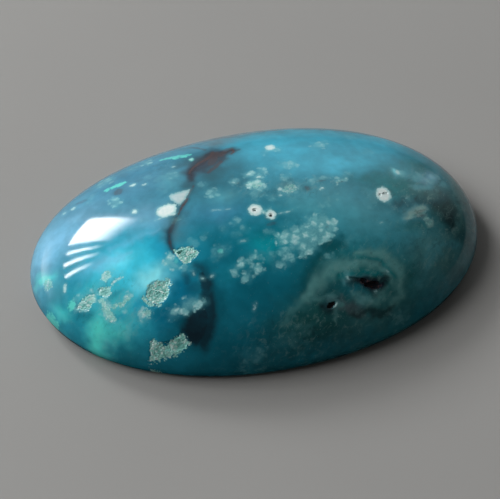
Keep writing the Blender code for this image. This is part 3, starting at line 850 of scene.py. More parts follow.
def half_box(sizes):
    """A half box without its bottom, cut into a fine grid of faces."""
    shape = bmesh.new()
    bmesh.ops.create_cube(shape, size=2)
    for vertex in shape.verts:
        vertex.co.z = max(vertex.co.z, 0)
    bottom = [face for face in shape.faces if face.normal.z < -0.5]
    bmesh.ops.delete(shape, geom=bottom, context="FACES_ONLY")
    for axis, faces in enumerate((sizes.faces_along, sizes.faces_across, sizes.faces_up)):
        edges = []
        for edge in shape.edges:
            start, end = edge.verts
            if abs(start.co[axis] - end.co[axis]) > UNCUT_EDGE:
                edges.append(edge)
        bmesh.ops.subdivide_edges(shape, edges=edges, cuts=faces - 1, use_grid_fill=True)
    return shape


def swell_to_ball(shape):
    """Push a box's vertices out to the ball of radius one that it fits round."""
    points = read_points(shape)
    points = np.tan(points * math.pi / 4)
    move_points(shape, points / np.linalg.norm(points, axis=1)[:, None])


def raised_marks():
    """Druzy patches whose grains are real."""
    return [mark for strength, mark in DRUSE if strength > RAISED_STRENGTH]


def fine_marks():
    """Markings that need a finer mesh: the pits and the raised druzy patches."""
    marks = raised_marks()
    for x, y, half_length, half_width, _, turn, _ in PITS:
        marks.append(Spot(x, y, half_length + PIT_MARGIN, half_width + PIT_MARGIN, turn))
    return marks


def refine(shape, sizes):
    """Cut the faces in the pits and druzy patches finer."""
    centres = np.array([face.calc_center_median()[:] for face in shape.faces])
    centres /= np.linalg.norm(centres, axis=1)[:, None]
    places = on_dome(centres, sizes) / MM
    inside = np.zeros(len(places), bool)
    for mark in fine_marks():
        inside |= depth_in(mark, places[:, 0], places[:, 1]) > -FINE_REACH
    fine_faces = [face for face, fine in zip(shape.faces, inside) if fine]
    # Each edge once and in order, so that every run cuts them alike
    edges = dict.fromkeys(edge for face in fine_faces for edge in face.edges)
    bmesh.ops.subdivide_edges(shape, edges=list(edges), cuts=sizes.fine_cuts, use_grid_fill=True)
    points = read_points(shape)
    move_points(shape, points / np.linalg.norm(points, axis=1)[:, None])


def close_below(shape, sizes):
    """Turn the rim in at the girdle and close the flat back."""
    share_above = 1.0
    for share, height in (
        (sizes.girdle_turn_share, sizes.girdle_turn_height),
        (sizes.back_share, 0.0),
    ):
        rim = [edge for edge in shape.edges if edge.is_boundary]
        made = bmesh.ops.extrude_edge_only(shape, edges=rim)["geom"]
        for vertex in (item for item in made if isinstance(item, bmesh.types.BMVert)):
            x, y, _ = vertex.co
            grown = share / share_above
            vertex.co = (MIDDLE[0] + (x - MIDDLE[0]) * grown, MIDDLE[1] + (y - MIDDLE[1]) * grown, height)
        share_above = share
    rim = [edge for edge in shape.edges if edge.is_boundary]
    bmesh.ops.edgeloop_fill(shape, edges=rim)


def stone_shape(sizes):
    """The whole stone before its pits are sunk."""
    shape = half_box(sizes)
    swell_to_ball(shape)
    refine(shape, sizes)
    move_points(shape, on_dome(read_points(shape), sizes))
    for vertex in shape.verts:
        if vertex.is_boundary:
            vertex.co.z = sizes.girdle_height
    close_below(shape, sizes)
    bmesh.ops.recalc_face_normals(shape, faces=shape.faces)
    return shape


def pit_depths(shape, points):
    """How deep the open pits are at every point, in millimetres."""
    tree = BVHTree.FromBMesh(shape)
    plan = points[:, :2] / MM
    sunk = np.zeros(len(points))
    for x, y, half_length, half_width, depth, turn, roughness in PITS:
        place, normal, _, _ = tree.ray_cast(Vector((x * MM, y * MM, 1)), Vector((0, 0, -1)))
        tilt = Vector((0, 0, 1)).rotation_difference(normal).to_matrix()
        turned = (tilt @ Matrix.Rotation(math.radians(turn), 3, "Z")).inverted()
        near = np.flatnonzero(np.hypot(plan[:, 0] - x, plan[:, 1] - y) < 2 * half_length)
        for index in near:
            local = turned @ (Vector(points[index]) - place) / MM
            along, across = local.x / half_length, local.y / half_width
            lump = noise.noise(Vector((along, across, x + y)) * PIT_LUMPS)
            crumb = noise.noise(Vector((local.x * PIT_CRUMBS, local.y * PIT_CRUMBS, x - y)))
            reach = math.hypot(along, across) / (1 + roughness * (lump + PIT_CRUMB_SHARE * crumb))
            if reach < 1:
                sunk[index] = max(sunk[index], depth * math.sqrt(1 - reach * reach))
    return sunk


def grain_heights(points):
    """The druzy grains at every point, as shares of their full height."""
    plan = points[:, :2] / MM
    inside = np.full(len(points), -DEEPEST)
    for mark in raised_marks():
        inside = np.maximum(inside, depth_in(mark, plan[:, 0], plan[:, 1]))
    grains = np.zeros(len(points))
    for index in np.flatnonzero(inside > -GRAIN_FADE / 2):
        place = Vector(points[index]) / MM
        nearest, second = noise.voronoi(place * SUGAR_SCALE)[0][:2]
        swell = GRAIN_SWELL * noise.noise(place * GRAIN_SWELL_SCALE)
        fade = min(max(0.5 + inside[index] / GRAIN_FADE, 0), 1)
        grains[index] = (second - nearest - GRAIN_DROP + swell) * fade
    return grains


def sink_pits(shape, sizes):
    """Sink the open pits into the dome and roughen the druzy patches. Returns how deep each vertex lies.

    No grain stands above the polished dome, because the whole stone was polished at once.
    """
    shape.normal_update()
    points = read_points(shape)
    normals = np.array([vertex.normal[:] for vertex in shape.verts])
    sunk = pit_depths(shape, points)
    bed = sunk * MM
    lift = np.minimum(grain_heights(points) * sizes.grain_height, bed) - bed
    points += normals * lift[:, None]
    points[:, 2] = np.maximum(points[:, 2], 0)
    move_points(shape, points)
    return sunk


# Fields of the markings

# How the edges of the tones wander: (bends in a millimetre, shift in millimetres)
WANDER = ((0.9, 0.30), (2.4, 0.20))
WANDER_OFFSET = Vector((31.7, 11.3, 5.9))


def turned_into(mark, x, y):
    """Places in a spot's own directions."""
    angle = math.radians(mark.turn)
    along = (x - mark.x) * math.cos(angle) + (y - mark.y) * math.sin(angle)
    across = (y - mark.y) * math.cos(angle) - (x - mark.x) * math.sin(angle)
    return along, across


def segment_fields(mark, x, y):
    """For each stretch of a line: the distance to it and its half width there."""
    for (x0, y0, half0), (x1, y1, half1) in zip(mark.points, mark.points[1:]):
        run_x, run_y = x1 - x0, y1 - y0
        square = run_x * run_x + run_y * run_y + TINY
        along = np.clip(((x - x0) * run_x + (y - y0) * run_y) / square, 0, 1)
        distance = np.hypot(x - x0 - along * run_x, y - y0 - along * run_y)
        yield distance, half0 + along * (half1 - half0)


def patch_depth(mark, x, y):
    """How far in from a closed outline each place lies, below zero outside."""
    distance = np.full(x.shape, np.inf)
    inside = np.zeros(x.shape, bool)
    corners = mark.corners
    for (x0, y0), (x1, y1) in zip(corners, corners[1:] + corners[:1]):
        run_x, run_y = x1 - x0, y1 - y0
        along = np.clip(((x - x0) * run_x + (y - y0) * run_y) / (run_x * run_x + run_y * run_y), 0, 1)
        distance = np.minimum(distance, np.hypot(x - x0 - along * run_x, y - y0 - along * run_y))
        if run_y:
            crosses = ((y0 > y) != (y1 > y)) & (x < x0 + (y - y0) * run_x / run_y)
            inside ^= crosses
    return np.where(inside, distance, -distance)


def depth_in(mark, x, y):
    """How far in from a marking's edge each place lies in millimetres, below zero outside."""
    if isinstance(mark, Spot):
        along, across = turned_into(mark, x, y)
        near = np.hypot(along / mark.half_length, across / mark.half_width) + TINY
        slope = np.hypot(along / mark.half_length**2, across / mark.half_width**2) + TINY
        return (1 - near) * near / slope
    if isinstance(mark, Ring):
        return mark.half_width - np.abs(np.hypot(x - mark.x, y - mark.y) - mark.radius)
    if isinstance(mark, Patch):
        return patch_depth(mark, x, y)
    return np.max([half - distance for distance, half in segment_fields(mark, x, y)], axis=0)


def softness(mark, x, y):
    """A soft weight: one in the middle of a marking, half at its edge, and fading outside."""
    if isinstance(mark, Spot):
        along, across = turned_into(mark, x, y)
        reach = np.hypot(along / mark.half_length, across / mark.half_width)
    elif isinstance(mark, Ring):
        reach = np.abs(np.hypot(x - mark.x, y - mark.y) - mark.radius) / mark.half_width
    else:
        reach = np.min([distance / half for distance, half in segment_fields(mark, x, y)], axis=0)
    return np.exp2(-reach * reach)


def wandered(places):
    """The places along X and Y, shifted to and fro so that the edges of the tones wander."""
    shifts = np.zeros((len(places), 2))
    for index, place in enumerate(places.tolist()):
        for bends, reach in WANDER:
            spot = Vector(place) * bends
            shifts[index] += (noise.noise(spot) * reach, noise.noise(spot + WANDER_OFFSET) * reach)
    return (places[:, :2] + shifts).T


def tone_field(places, colours):
    """The soft colour of every place, as the tones are laid over one another, painted glow and painted
    reflection among them.
    """
    x, y = wandered(places)
    tone = np.tile(np.array(colours.teal), (len(places), 1))
    for colour, strength, mark in TONES + BANDS:
        weight = (strength * softness(mark, x, y))[:, None]
        tone = tone * (1 - weight) + np.array(getattr(colours, colour)) * weight
    return tone


def mottle_field(places):
    """How mottled the ground is at every place."""
    x, y = places[:, 0], places[:, 1]
    return np.max([strength * softness(mark, x, y) for strength, mark in MOTTLE], axis=0)


def family_fields(marks, places):
    """How far in each place lies in a family of markings, and how strong the nearest marking is."""
    x, y = places[:, 0], places[:, 1]
    deepest = np.full(len(places), -DEEPEST)
    strengths = np.zeros(len(places))
    for strength, mark in marks:
        depth = depth_in(mark, x, y)
        nearer = depth > deepest
        deepest = np.where(nearer, depth, deepest)
        strengths = np.where(nearer, strength, strengths)
    return np.minimum(deepest, DEEPEST), strengths


def write_number(mesh, name, values):
    """Give every vertex of a mesh a number."""
    attribute = mesh.attributes.new(name, "FLOAT", "POINT")
    attribute.data.foreach_set("value", values.astype(np.float32))


def write_fields(mesh, sunk, colours):
    """Write the tone and every family of markings on the mesh."""
    places = np.empty(len(mesh.vertices) * 3, np.float32)
    mesh.vertices.foreach_get("co", places)
    places = places.reshape(-1, 3) / MM
    tone = np.column_stack((tone_field(places, colours), np.ones(len(places))))
    attribute = mesh.attributes.new("tone", "FLOAT_COLOR", "POINT")
    attribute.data.foreach_set("color", tone.astype(np.float32).ravel())
    for name, marks in FAMILIES.items():
        depth, strength = family_fields(marks, places)
        write_number(mesh, name + "_depth", depth)
        write_number(mesh, name + "_strength", strength)
    write_number(mesh, "mottle", mottle_field(places))
    write_number(mesh, "sunk", sunk)


# Material

NOISE_RANGE = (0.3, 0.7)
STONE_IOR = 1.54
POLISH = 0.07
RELIEF = 0.00004

# Scales of the noises, in bends or cells in a millimetre, and how far the stirring shifts a place
SILK_SCALE = 0.35
CURD_SCALE = 1.6
FLAKE_SCALE = 4.5
GRAIN_SCALE = 11.0
LUMP_SCALE = 2.1
CRUMB_SCALE = 6.0
STREAK_SCALE = 2.3
STIR_SCALE = 2.6
STIR_REACH = 0.5

# The mottled ground is drawn out along this slant
SLANT = math.radians(48)
SLANT_STRETCH = (1.9, 0.75, 1.0)

# Noises that the markings share, and the places that they are read at
Noises = namedtuple("Noises", "place stirred silk curd flake grain lumps crumbs sugar sugar_gap sugar_tint")


class Graph:
    """Adds and links the nodes of one material."""

    def __init__(self, tree):
        self.tree = tree

    def fill(self, socket, value):
        """Set a socket to a value, or link it to another node's output."""
        if isinstance(value, bpy.types.NodeSocket):
            self.tree.links.new(value, socket)
        else:
            socket.default_value = value

    def node(self, kind, inputs=None, **settings):
        """A new node with these settings and inputs."""
        node = self.tree.nodes.new(kind)
        for name, value in settings.items():
            setattr(node, name, value)
        for name, value in (inputs or {}).items():
            self.fill(node.inputs[name], value)
        return node

    def number(self, name):
        """A number written on the mesh."""
        return self.node("ShaderNodeAttribute", attribute_name=name).outputs["Fac"]

    def maths(self, operation, *values, clamp=False):
        """One step of arithmetic on numbers."""
        node = self.node("ShaderNodeMath", operation=operation, use_clamp=clamp)
        for socket, value in zip(node.inputs, values):
            self.fill(socket, value)
        return node.outputs[0]

    def times(self, first, second, clamp=False):
        """One number times another."""
        return self.maths("MULTIPLY", first, second, clamp=clamp)

    def plus(self, first, second, clamp=False):
        """One number and another."""
        return self.maths("ADD", first, second, clamp=clamp)

    def ramp(self, value, low, high, start=0.0, end=1.0):
        """A number carried smoothly from low..high to start..end."""
        node = self.node(
            "ShaderNodeMapRange",
            {"Value": value, "From Min": low, "From Max": high, "To Min": start, "To Max": end},
            interpolation_type="SMOOTHSTEP",
        )
        return node.outputs["Result"]

    def spread(self, noise, start, end):
        """A noise carried from its usual range to start..end."""
        return self.ramp(noise, *NOISE_RANGE, start, end)

    def wobble(self, noise, reach):
        """A noise as a shift of up to this many millimetres either way."""
        return self.spread(noise, -reach, reach)

    def mix(self, share, first, second):
        """The second colour laid over the first with this cover."""
        node = self.node("ShaderNodeMix", data_type="RGBA")
        for index, value in ((0, share), (6, first), (7, second)):
            self.fill(node.inputs[index], value)
        return node.outputs[2]

    def noise(self, place, scale, detail=2.0, distortion=0.0, rough=0.5):
        """Cloudy noise."""
        node = self.node(
            "ShaderNodeTexNoise",
            {"Vector": place, "Scale": scale, "Detail": detail, "Distortion": distortion, "Roughness": rough},
        )
        return node.outputs["Fac"]

    def cells(self, place, scale, feature="F1", output="Distance"):
        """Cells like packed grains."""
        node = self.node("ShaderNodeTexVoronoi", {"Vector": place, "Scale": scale}, feature=feature)
        return node.outputs[output]

    def lumps(self, place, scale, smoothness):
        """Rounded lumps, lowest in the middle of each."""
        node = self.node(
            "ShaderNodeTexVoronoi", {"Vector": place, "Scale": scale, "Smoothness": smoothness},
            feature="SMOOTH_F1",
        )
        return node.outputs["Distance"]


def rgba(colour):
    """A colour with full cover."""
    return (*colour, 1.0)


def family_mask(graph, name, wobble, soft, grown=0.0):
    """How much of a family of markings shows at each place, with its edge roughened by the wobble."""
    edge = graph.plus(graph.number(name + "_depth"), wobble)
    cover = graph.ramp(edge, -soft - grown, soft)
    return graph.times(cover, graph.number(name + "_strength"))


def stirred_place(graph, place):
    """The place shifted to and fro, so that the lumps laid out on it aren't all round."""
    stir = graph.node("ShaderNodeTexNoise", {"Vector": place, "Scale": STIR_SCALE, "Detail": 2.0})
    stir = graph.node(
        "ShaderNodeVectorMath", {0: stir.outputs["Color"], 1: (-0.5, -0.5, -0.5)}, operation="ADD",
    ).outputs[0]
    stir = graph.node("ShaderNodeVectorMath", {0: stir, "Scale": STIR_REACH}, operation="SCALE").outputs[0]
    return graph.node("ShaderNodeVectorMath", {0: place, 1: stir}, operation="ADD").outputs[0]


def shared_noises(graph):
    """The noises that the markings share, on places in millimetres."""
    place = graph.node("ShaderNodeTexCoord").outputs["Object"]
    place = graph.node("ShaderNodeMapping", {"Vector": place, "Scale": (1 / MM, 1 / MM, 1 / MM)}).outputs[0]
    stirred = stirred_place(graph, place)
    grain_colour = graph.cells(place, SUGAR_SCALE, output="Color")
    return Noises(
        place=place,
        stirred=stirred,
        silk=graph.noise(place, SILK_SCALE, 4.0, 0.6),
        curd=graph.noise(place, CURD_SCALE, 4.0, 0.2),
        flake=graph.noise(place, FLAKE_SCALE, 3.0),
        grain=graph.noise(place, GRAIN_SCALE, 2.0),
        lumps=graph.lumps(stirred, LUMP_SCALE, 0.45),
        crumbs=graph.lumps(stirred, CRUMB_SCALE, 0.3),
        sugar=graph.cells(place, SUGAR_SCALE),
        sugar_gap=graph.cells(place, SUGAR_SCALE, "DISTANCE_TO_EDGE"),
        sugar_tint=graph.node("ShaderNodeSeparateColor", {"Color": grain_colour}).outputs[0],
    )


def body_colour(graph, noises):
    """The soft tones of the stone, with the painted glow and painted reflection of its left end, a little
    lighter and darker in silky clouds.
    """
    tone = graph.node("ShaderNodeAttribute", attribute_name="tone").outputs["Color"]
    level = graph.times(graph.spread(noises.silk, 0.88, 1.12), graph.spread(noises.curd, 0.93, 1.07))
    return graph.node("ShaderNodeVectorMath", {0: tone, "Scale": level}, operation="SCALE").outputs[0]


def lay_mottle(graph, noises, colours, colour):
    """Pale and dark streaks and specks of the ground, drawn out along the right end's slant."""
    mottle = graph.number("mottle")
    slanted = graph.node(
        "ShaderNodeMapping",
        {"Vector": noises.stirred, "Rotation": (0, 0, SLANT), "Scale": SLANT_STRETCH},
        vector_type="TEXTURE",
    ).outputs[0]
    streaks = graph.noise(slanted, STREAK_SCALE, 5.0, 0.4, 0.62)
    pale_share = graph.times(mottle, graph.ramp(streaks, 0.50, 0.72, 0.0, 0.42))
    colour = graph.mix(pale_share, colour, rgba(colours.lichen))
    dark_share = graph.times(mottle, graph.ramp(streaks, 0.47, 0.30, 0.0, 0.50))
    colour = graph.mix(dark_share, colour, rgba(colours.ink))
    speck = graph.times(graph.ramp(noises.crumbs, 0.26, 0.14), graph.ramp(noises.flake, 0.52, 0.66))
    speck = graph.times(speck, graph.times(graph.plus(mottle, 0.25), 0.5))
    return graph.mix(speck, colour, rgba(colours.lichen))


def lay_smoke(graph, noises, colours, colour):
    """Dark smoke, which the pale markings lie over."""
    smoke = family_mask(graph, "smoke", graph.wobble(noises.curd, 0.07), 0.10, 0.32)
    smoke = graph.times(smoke, graph.ramp(noises.curd, 0.3, 0.6, 0.84, 1.0))
    return graph.mix(smoke, colour, rgba(colours.smoke))


def lay_clouds(graph, noises, colours, colour):
    """Clouds of rounded lumps with whiter hearts, in a faint glow."""
    glow = family_mask(graph, "cloud", graph.wobble(noises.curd, 0.10), 0.05, 0.36)
    colour = graph.mix(graph.times(glow, 0.45), colour, rgba(colours.pale))
    edge = graph.plus(graph.ramp(noises.lumps, 0.2, 0.75, 0.19, -0.10), graph.wobble(noises.flake, 0.05))
    cloud = family_mask(graph, "cloud", edge, 0.09, 0.12)
    cloud = graph.times(cloud, graph.ramp(graph.number("cloud_strength"), 0.15, 0.75, 0.25, 1.0))
    lumpy = graph.ramp(noises.lumps, 0.30, 0.64, 1.0, 0.40)
    crumbly = graph.ramp(noises.crumbs, 0.2, 0.8, 1.15, 0.75)
    cloud = graph.times(cloud, graph.times(lumpy, crumbly), clamp=True)
    colour = graph.mix(cloud, colour, rgba(colours.cloud))
    heart = graph.times(graph.maths("POWER", cloud, 2.0), graph.ramp(noises.lumps, 0.10, 0.5, 0.42, 0.0))
    return graph.mix(heart, colour, rgba(colours.snow))


def lay_turquoise(graph, noises, colours, colour):
    """Bright turquoise streaks."""
    turquoise = family_mask(graph, "turquoise", graph.wobble(noises.flake, 0.06), 0.05, 0.06)
    return graph.mix(turquoise, colour, rgba(colours.turquoise))


def lay_rust(graph, noises, colours, colour):
    """Brown lines with a dark stain round them."""
    stain = family_mask(graph, "rust", graph.wobble(noises.curd, 0.04), 0.02, 0.20)
    colour = graph.mix(graph.times(stain, 0.35), colour, rgba(colours.plum))
    rust = family_mask(graph, "rust", graph.wobble(noises.flake, 0.03), 0.05)
    rust = graph.times(rust, graph.ramp(noises.grain, 0.3, 0.65, 0.7, 1.0))
    return graph.mix(rust, colour, rgba(colours.rust))


def druse_cover(graph, noises):
    """How much of the druzy patches shows at each place, with grains along their edges."""
    edge = graph.plus(graph.ramp(noises.sugar, 0.1, 0.6, 0.05, -0.05), graph.wobble(noises.flake, 0.06))
    return family_mask(graph, "druse", edge, 0.05)


def druse_colour(graph, noises, colours):
    """Sugary grains, greener toward the heart of a patch, with green gaps and creases."""
    deep_in = graph.ramp(graph.number("druse_depth"), 0.06, 0.36, 0.15, 0.85)
    colour = graph.mix(deep_in, rgba(colours.druse), rgba(colours.celadon))
    colour = graph.mix(graph.ramp(noises.sugar_tint, 0.5, 1.0, 0.0, 0.55), colour, rgba(colours.snow))
    colour = graph.mix(graph.ramp(noises.sugar_gap, 0.0, 0.12, 0.35, 0.0), colour, rgba(colours.fern))
    crease = graph.times(graph.ramp(noises.lumps, 0.42, 0.72), graph.ramp(noises.flake, 0.42, 0.6))
    return graph.mix(graph.times(crease, 0.5), colour, rgba(colours.fern))


def snow_cover(graph, noises):
    """How much of the white spots, and of the painted reflection in the lower vug, shows at each place."""
    edge = graph.plus(graph.wobble(noises.flake, 0.035), graph.wobble(noises.grain, 0.012))
    return family_mask(graph, "snow", edge, 0.055)


def lay_snow(graph, noises, colours, colour, snow):
    """White spots and the painted reflection in the lower vug, bluer toward their edges and with a faint glow
    round them.
    """
    glow = family_mask(graph, "snow", 0.0, 0.02, 0.20)
    colour = graph.mix(graph.times(glow, 0.22), colour, rgba(colours.cloud))
    rim = graph.ramp(graph.number("snow_depth"), 0.02, 0.22, 0.55, 0.0)
    rim = graph.plus(rim, graph.ramp(noises.flake, 0.35, 0.75, 0.22, 0.0), clamp=True)
    return graph.mix(snow, colour, graph.mix(rim, rgba(colours.snow), rgba(colours.cloud)))


def lay_crust(graph, noises, colours, colour, hollow):
    """Black and brown crust of the open pits."""
    crust = graph.mix(graph.ramp(noises.grain, 0.48, 0.70), rgba(colours.smoke), rgba(colours.rust))
    return graph.mix(hollow, colour, crust)


def roughness(graph, noises, duller):
    """A high polish, and what each cover of the list adds to it."""
    rough = graph.plus(POLISH, graph.spread(noises.flake, 0.0, 0.03))
    for cover, added in duller:
        rough = graph.plus(rough, graph.times(cover, added), clamp=True)
    return rough


def relief(graph, noises, grainy, back):
    """Fine relief of the grains and of the ground back."""
    height = graph.times(grainy, graph.maths("SUBTRACT", noises.sugar_gap, noises.sugar))
    height = graph.plus(height, graph.times(graph.times(back, noises.grain), 0.3))
    bump = graph.node("ShaderNodeBump", {"Strength": 0.5, "Distance": RELIEF, "Height": height})
    return bump.outputs["Normal"]


def stone_material(colours):
    """Polished gem silica with its markings."""
    material = bpy.data.materials.new("Polished gem silica")
    material.use_nodes = True
    graph = Graph(material.node_tree)
    noises = shared_noises(graph)
    druse = druse_cover(graph, noises)
    snow = snow_cover(graph, noises)
    hollow = graph.ramp(graph.number("sunk"), 0.10, 0.16)
    height = graph.node("ShaderNodeSeparateXYZ", {"Vector": noises.place}).outputs["Z"]
    back = graph.ramp(height, 0.02, 0.005)

    colour = body_colour(graph, noises)
    for lay in (lay_mottle, lay_smoke, lay_clouds, lay_turquoise, lay_rust):
        colour = lay(graph, noises, colours, colour)
    colour = graph.mix(druse, colour, druse_colour(graph, noises, colours))
    colour = lay_snow(graph, noises, colours, colour, snow)
    colour = lay_crust(graph, noises, colours, colour, hollow)

    duller = ((druse, 0.35), (snow, 0.08), (hollow, 0.4), (back, 0.45))
    surface = material.node_tree.nodes["Principled BSDF"]
    graph.fill(surface.inputs["Base Color"], colour)
    graph.fill(surface.inputs["Roughness"], roughness(graph, noises, duller))
    graph.fill(surface.inputs["Normal"], relief(graph, noises, graph.plus(druse, hollow), back))
    surface.inputs["IOR"].default_value = STONE_IOR
    return material


class MESH_OT_gem_silica_stone(bpy.types.Operator):
    """Make the polished stone with its pits and markings"""

    bl_idname = "mesh.gem_silica_stone"
    bl_label = "Make the stone"

    def execute(self, context):
        sizes = context.scene.stone_sizes
        colours = context.scene.stone_colours
        shape = stone_shape(sizes)
        sunk = sink_pits(shape, sizes)
        mesh = bpy.data.meshes.new("polished_stone")
        shape.to_mesh(mesh)
        shape.free()
        mesh.shade_smooth()
        mesh.set_sharp_from_angle(angle=SHARP_ANGLE)
        write_fields(mesh, sunk, colours)
        mesh.materials.append(stone_material(colours))
        stone = bpy.data.objects.new("polished_stone", mesh)
        context.scene.collection.objects.link(stone)
        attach(stone, "root")
        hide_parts("cabochon")
        return {"FINISHED"}


# Window panes as the stone sees them: (across, up, half width, half height, lean in degrees), each
# as a share of the window's distance
PANES = (
    (0.015, 0.785, 0.160, 0.315, 12),
    (-0.232, 0.84, 0.022, 0.27, 17),
    (-0.375, 0.90, 0.034, 0.30, 24),
    (-0.580, 0.98, 0.038, 0.30, 32),
)
WINDOW_DISTANCE = 0.22
WINDOW_TURN = math.radians(-150)
# Where the window's highlight lies on the dome, and what the camera looks at
HIGHLIGHT = Vector((-10.5, 0.5, 4.8)) * MM
AIM = Vector((-0.18, 1.06, 0.0)) * MM
SENSOR_WIDTH = 36
NEAREST_VIEW = 0.005

# The pale wall stands in a curve behind the stone and fades out upward and toward one end
WALL_DISTANCE = 0.5
WALL_TURNS = (math.radians(100), math.radians(208))
WALL_FADE_TURNS = (math.radians(104), math.radians(142))
WALL_HEIGHT = 0.80
WALL_FADE_HEIGHTS = (0.42, 0.78)
WALL_FOOT_HEIGHT = 0.16
WALL_FOOT_SHARE = 0.45
WALL_STEPS = 36

# The black card lies on the floor at the camera's side, so that the near flank mirrors nothing pale
CARD_TURN = math.radians(-5)
CARD_HALF_TURN = math.radians(100)
CARD_FADE_TURN = math.radians(55)
CARD_REACH = 0.6
CARD_LIFT = 0.00005

# The soft light, which the stone doesn't mirror: (turn, rise, distance, width, height), and the sill,
# which it does: (turn, distance, width, low, high). The angles are in degrees.
SOFT_LIGHT = (-100, 48, 0.35, 0.26, 0.22)
SILL = (-122, 0.4, 0.40, 0.0, 0.14)
# The shares of a light's width at each side and of its height at the top over which it fades out
PANE_FADE = (0.10, 0.60)
SILL_FADE = (0.45, 0.8)

ROOM_COLOUR = (1.0, 0.99, 0.97, 1.0)
FLOOR_MOTTLE_SCALE = 60.0
FLOOR_SHADE = 0.94


def floor_material(colour):
    """Plain pale floor with a faint mottle."""
    material = bpy.data.materials.new("Pale floor")
    material.use_nodes = True
    graph = Graph(material.node_tree)
    surface = material.node_tree.nodes["Principled BSDF"]
    place = graph.node("ShaderNodeTexCoord").outputs["Object"]
    mottle = graph.noise(place, FLOOR_MOTTLE_SCALE, 3.0)
    darker = tuple(part * FLOOR_SHADE for part in colour)
    graph.fill(surface.inputs["Base Color"], graph.mix(mottle, rgba(colour), rgba(darker)))
    graph.fill(surface.inputs["Roughness"], graph.spread(mottle, 0.8, 0.9))
    surface.inputs["Specular IOR Level"].default_value = 0.0
    return material


def direction(turn, rise):
    """The direction to something at this turn round the stone and this rise above the floor."""
    return Vector((math.sin(turn) * math.cos(rise), -math.cos(turn) * math.cos(rise), math.sin(rise)))


def fade_light(lamp, sides, top):
    """Let a light fade out over these shares of its width at each side and of its height at the top."""
    lamp.use_nodes = True
    graph = Graph(lamp.node_tree)
    spot = graph.node("ShaderNodeNewGeometry").outputs["Parametric"]
    spot = graph.node("ShaderNodeSeparateXYZ", {"Vector": spot}).outputs
    off_middle = graph.maths("ABSOLUTE", graph.maths("SUBTRACT", spot["X"], 0.5))
    fade = graph.times(graph.ramp(spot["Y"], 1.0, 1.0 - top), graph.ramp(off_middle, 0.5, 0.5 - sides))
    graph.fill(lamp.node_tree.nodes["Emission"].inputs["Strength"], fade)


def card_material():
    """Black card that fades out toward both ends."""
    material = bpy.data.materials.new("Black card")
    material.use_nodes = True
    tree = material.node_tree
    graph = Graph(tree)
    surface = tree.nodes["Principled BSDF"]
    surface.inputs["Base Color"].default_value = (0.0, 0.0, 0.0, 1.0)
    surface.inputs["Specular IOR Level"].default_value = 0.0
    place = graph.node("ShaderNodeTexCoord").outputs["Object"]
    parts = graph.node("ShaderNodeSeparateXYZ", {"Vector": place}).outputs
    turn = graph.maths("ARCTAN2", parts["X"], graph.times(parts["Y"], -1.0))
    off_middle = graph.maths("ABSOLUTE", graph.maths("SUBTRACT", turn, CARD_TURN))
    graph.fill(surface.inputs["Alpha"], graph.ramp(off_middle, CARD_HALF_TURN, CARD_FADE_TURN))
    return material


def wall_material(brightness):
    """Pale lit wall that fades out upward and toward its right end."""
    material = bpy.data.materials.new("Pale wall")
    material.use_nodes = True
    tree = material.node_tree
    tree.nodes.remove(tree.nodes["Principled BSDF"])
    graph = Graph(tree)
    place = graph.node("ShaderNodeTexCoord").outputs["Object"]
    parts = graph.node("ShaderNodeSeparateXYZ", {"Vector": place}).outputs
    turn = graph.maths("ARCTAN2", parts["X"], graph.times(parts["Y"], -1.0))
    turn = graph.maths("WRAP", turn, math.tau, 0.0)
    up = graph.ramp(parts["Z"], WALL_FADE_HEIGHTS[1], WALL_FADE_HEIGHTS[0])
    up = graph.times(up, graph.ramp(parts["Z"], 0.0, WALL_FOOT_HEIGHT, WALL_FOOT_SHARE, 1.0))
    along = graph.ramp(turn, *WALL_FADE_TURNS)
    light = graph.times(graph.times(up, along), brightness)
    glow = graph.node("ShaderNodeEmission", {"Strength": light})
    graph.fill(tree.nodes["Material Output"].inputs["Surface"], glow.outputs[0])
    return material


def area_light(name, place, toward, size, brightness, lean=0.0):
    """A flat light of this size and brightness, facing along toward and leaning by degrees."""
    lamp = bpy.data.lights.new(name, "AREA")
    lamp.shape = "RECTANGLE"
    lamp.size, lamp.size_y = size
    lamp.energy = brightness * math.pi * size[0] * size[1]
    light = bpy.data.objects.new(name, lamp)
    bpy.context.scene.collection.objects.link(light)
    facing = toward.to_track_quat("-Z", "Y").to_matrix().to_4x4()
    light.matrix_world = Matrix.Translation(place) @ facing @ Matrix.Rotation(math.radians(lean), 4, "Z")
    return light


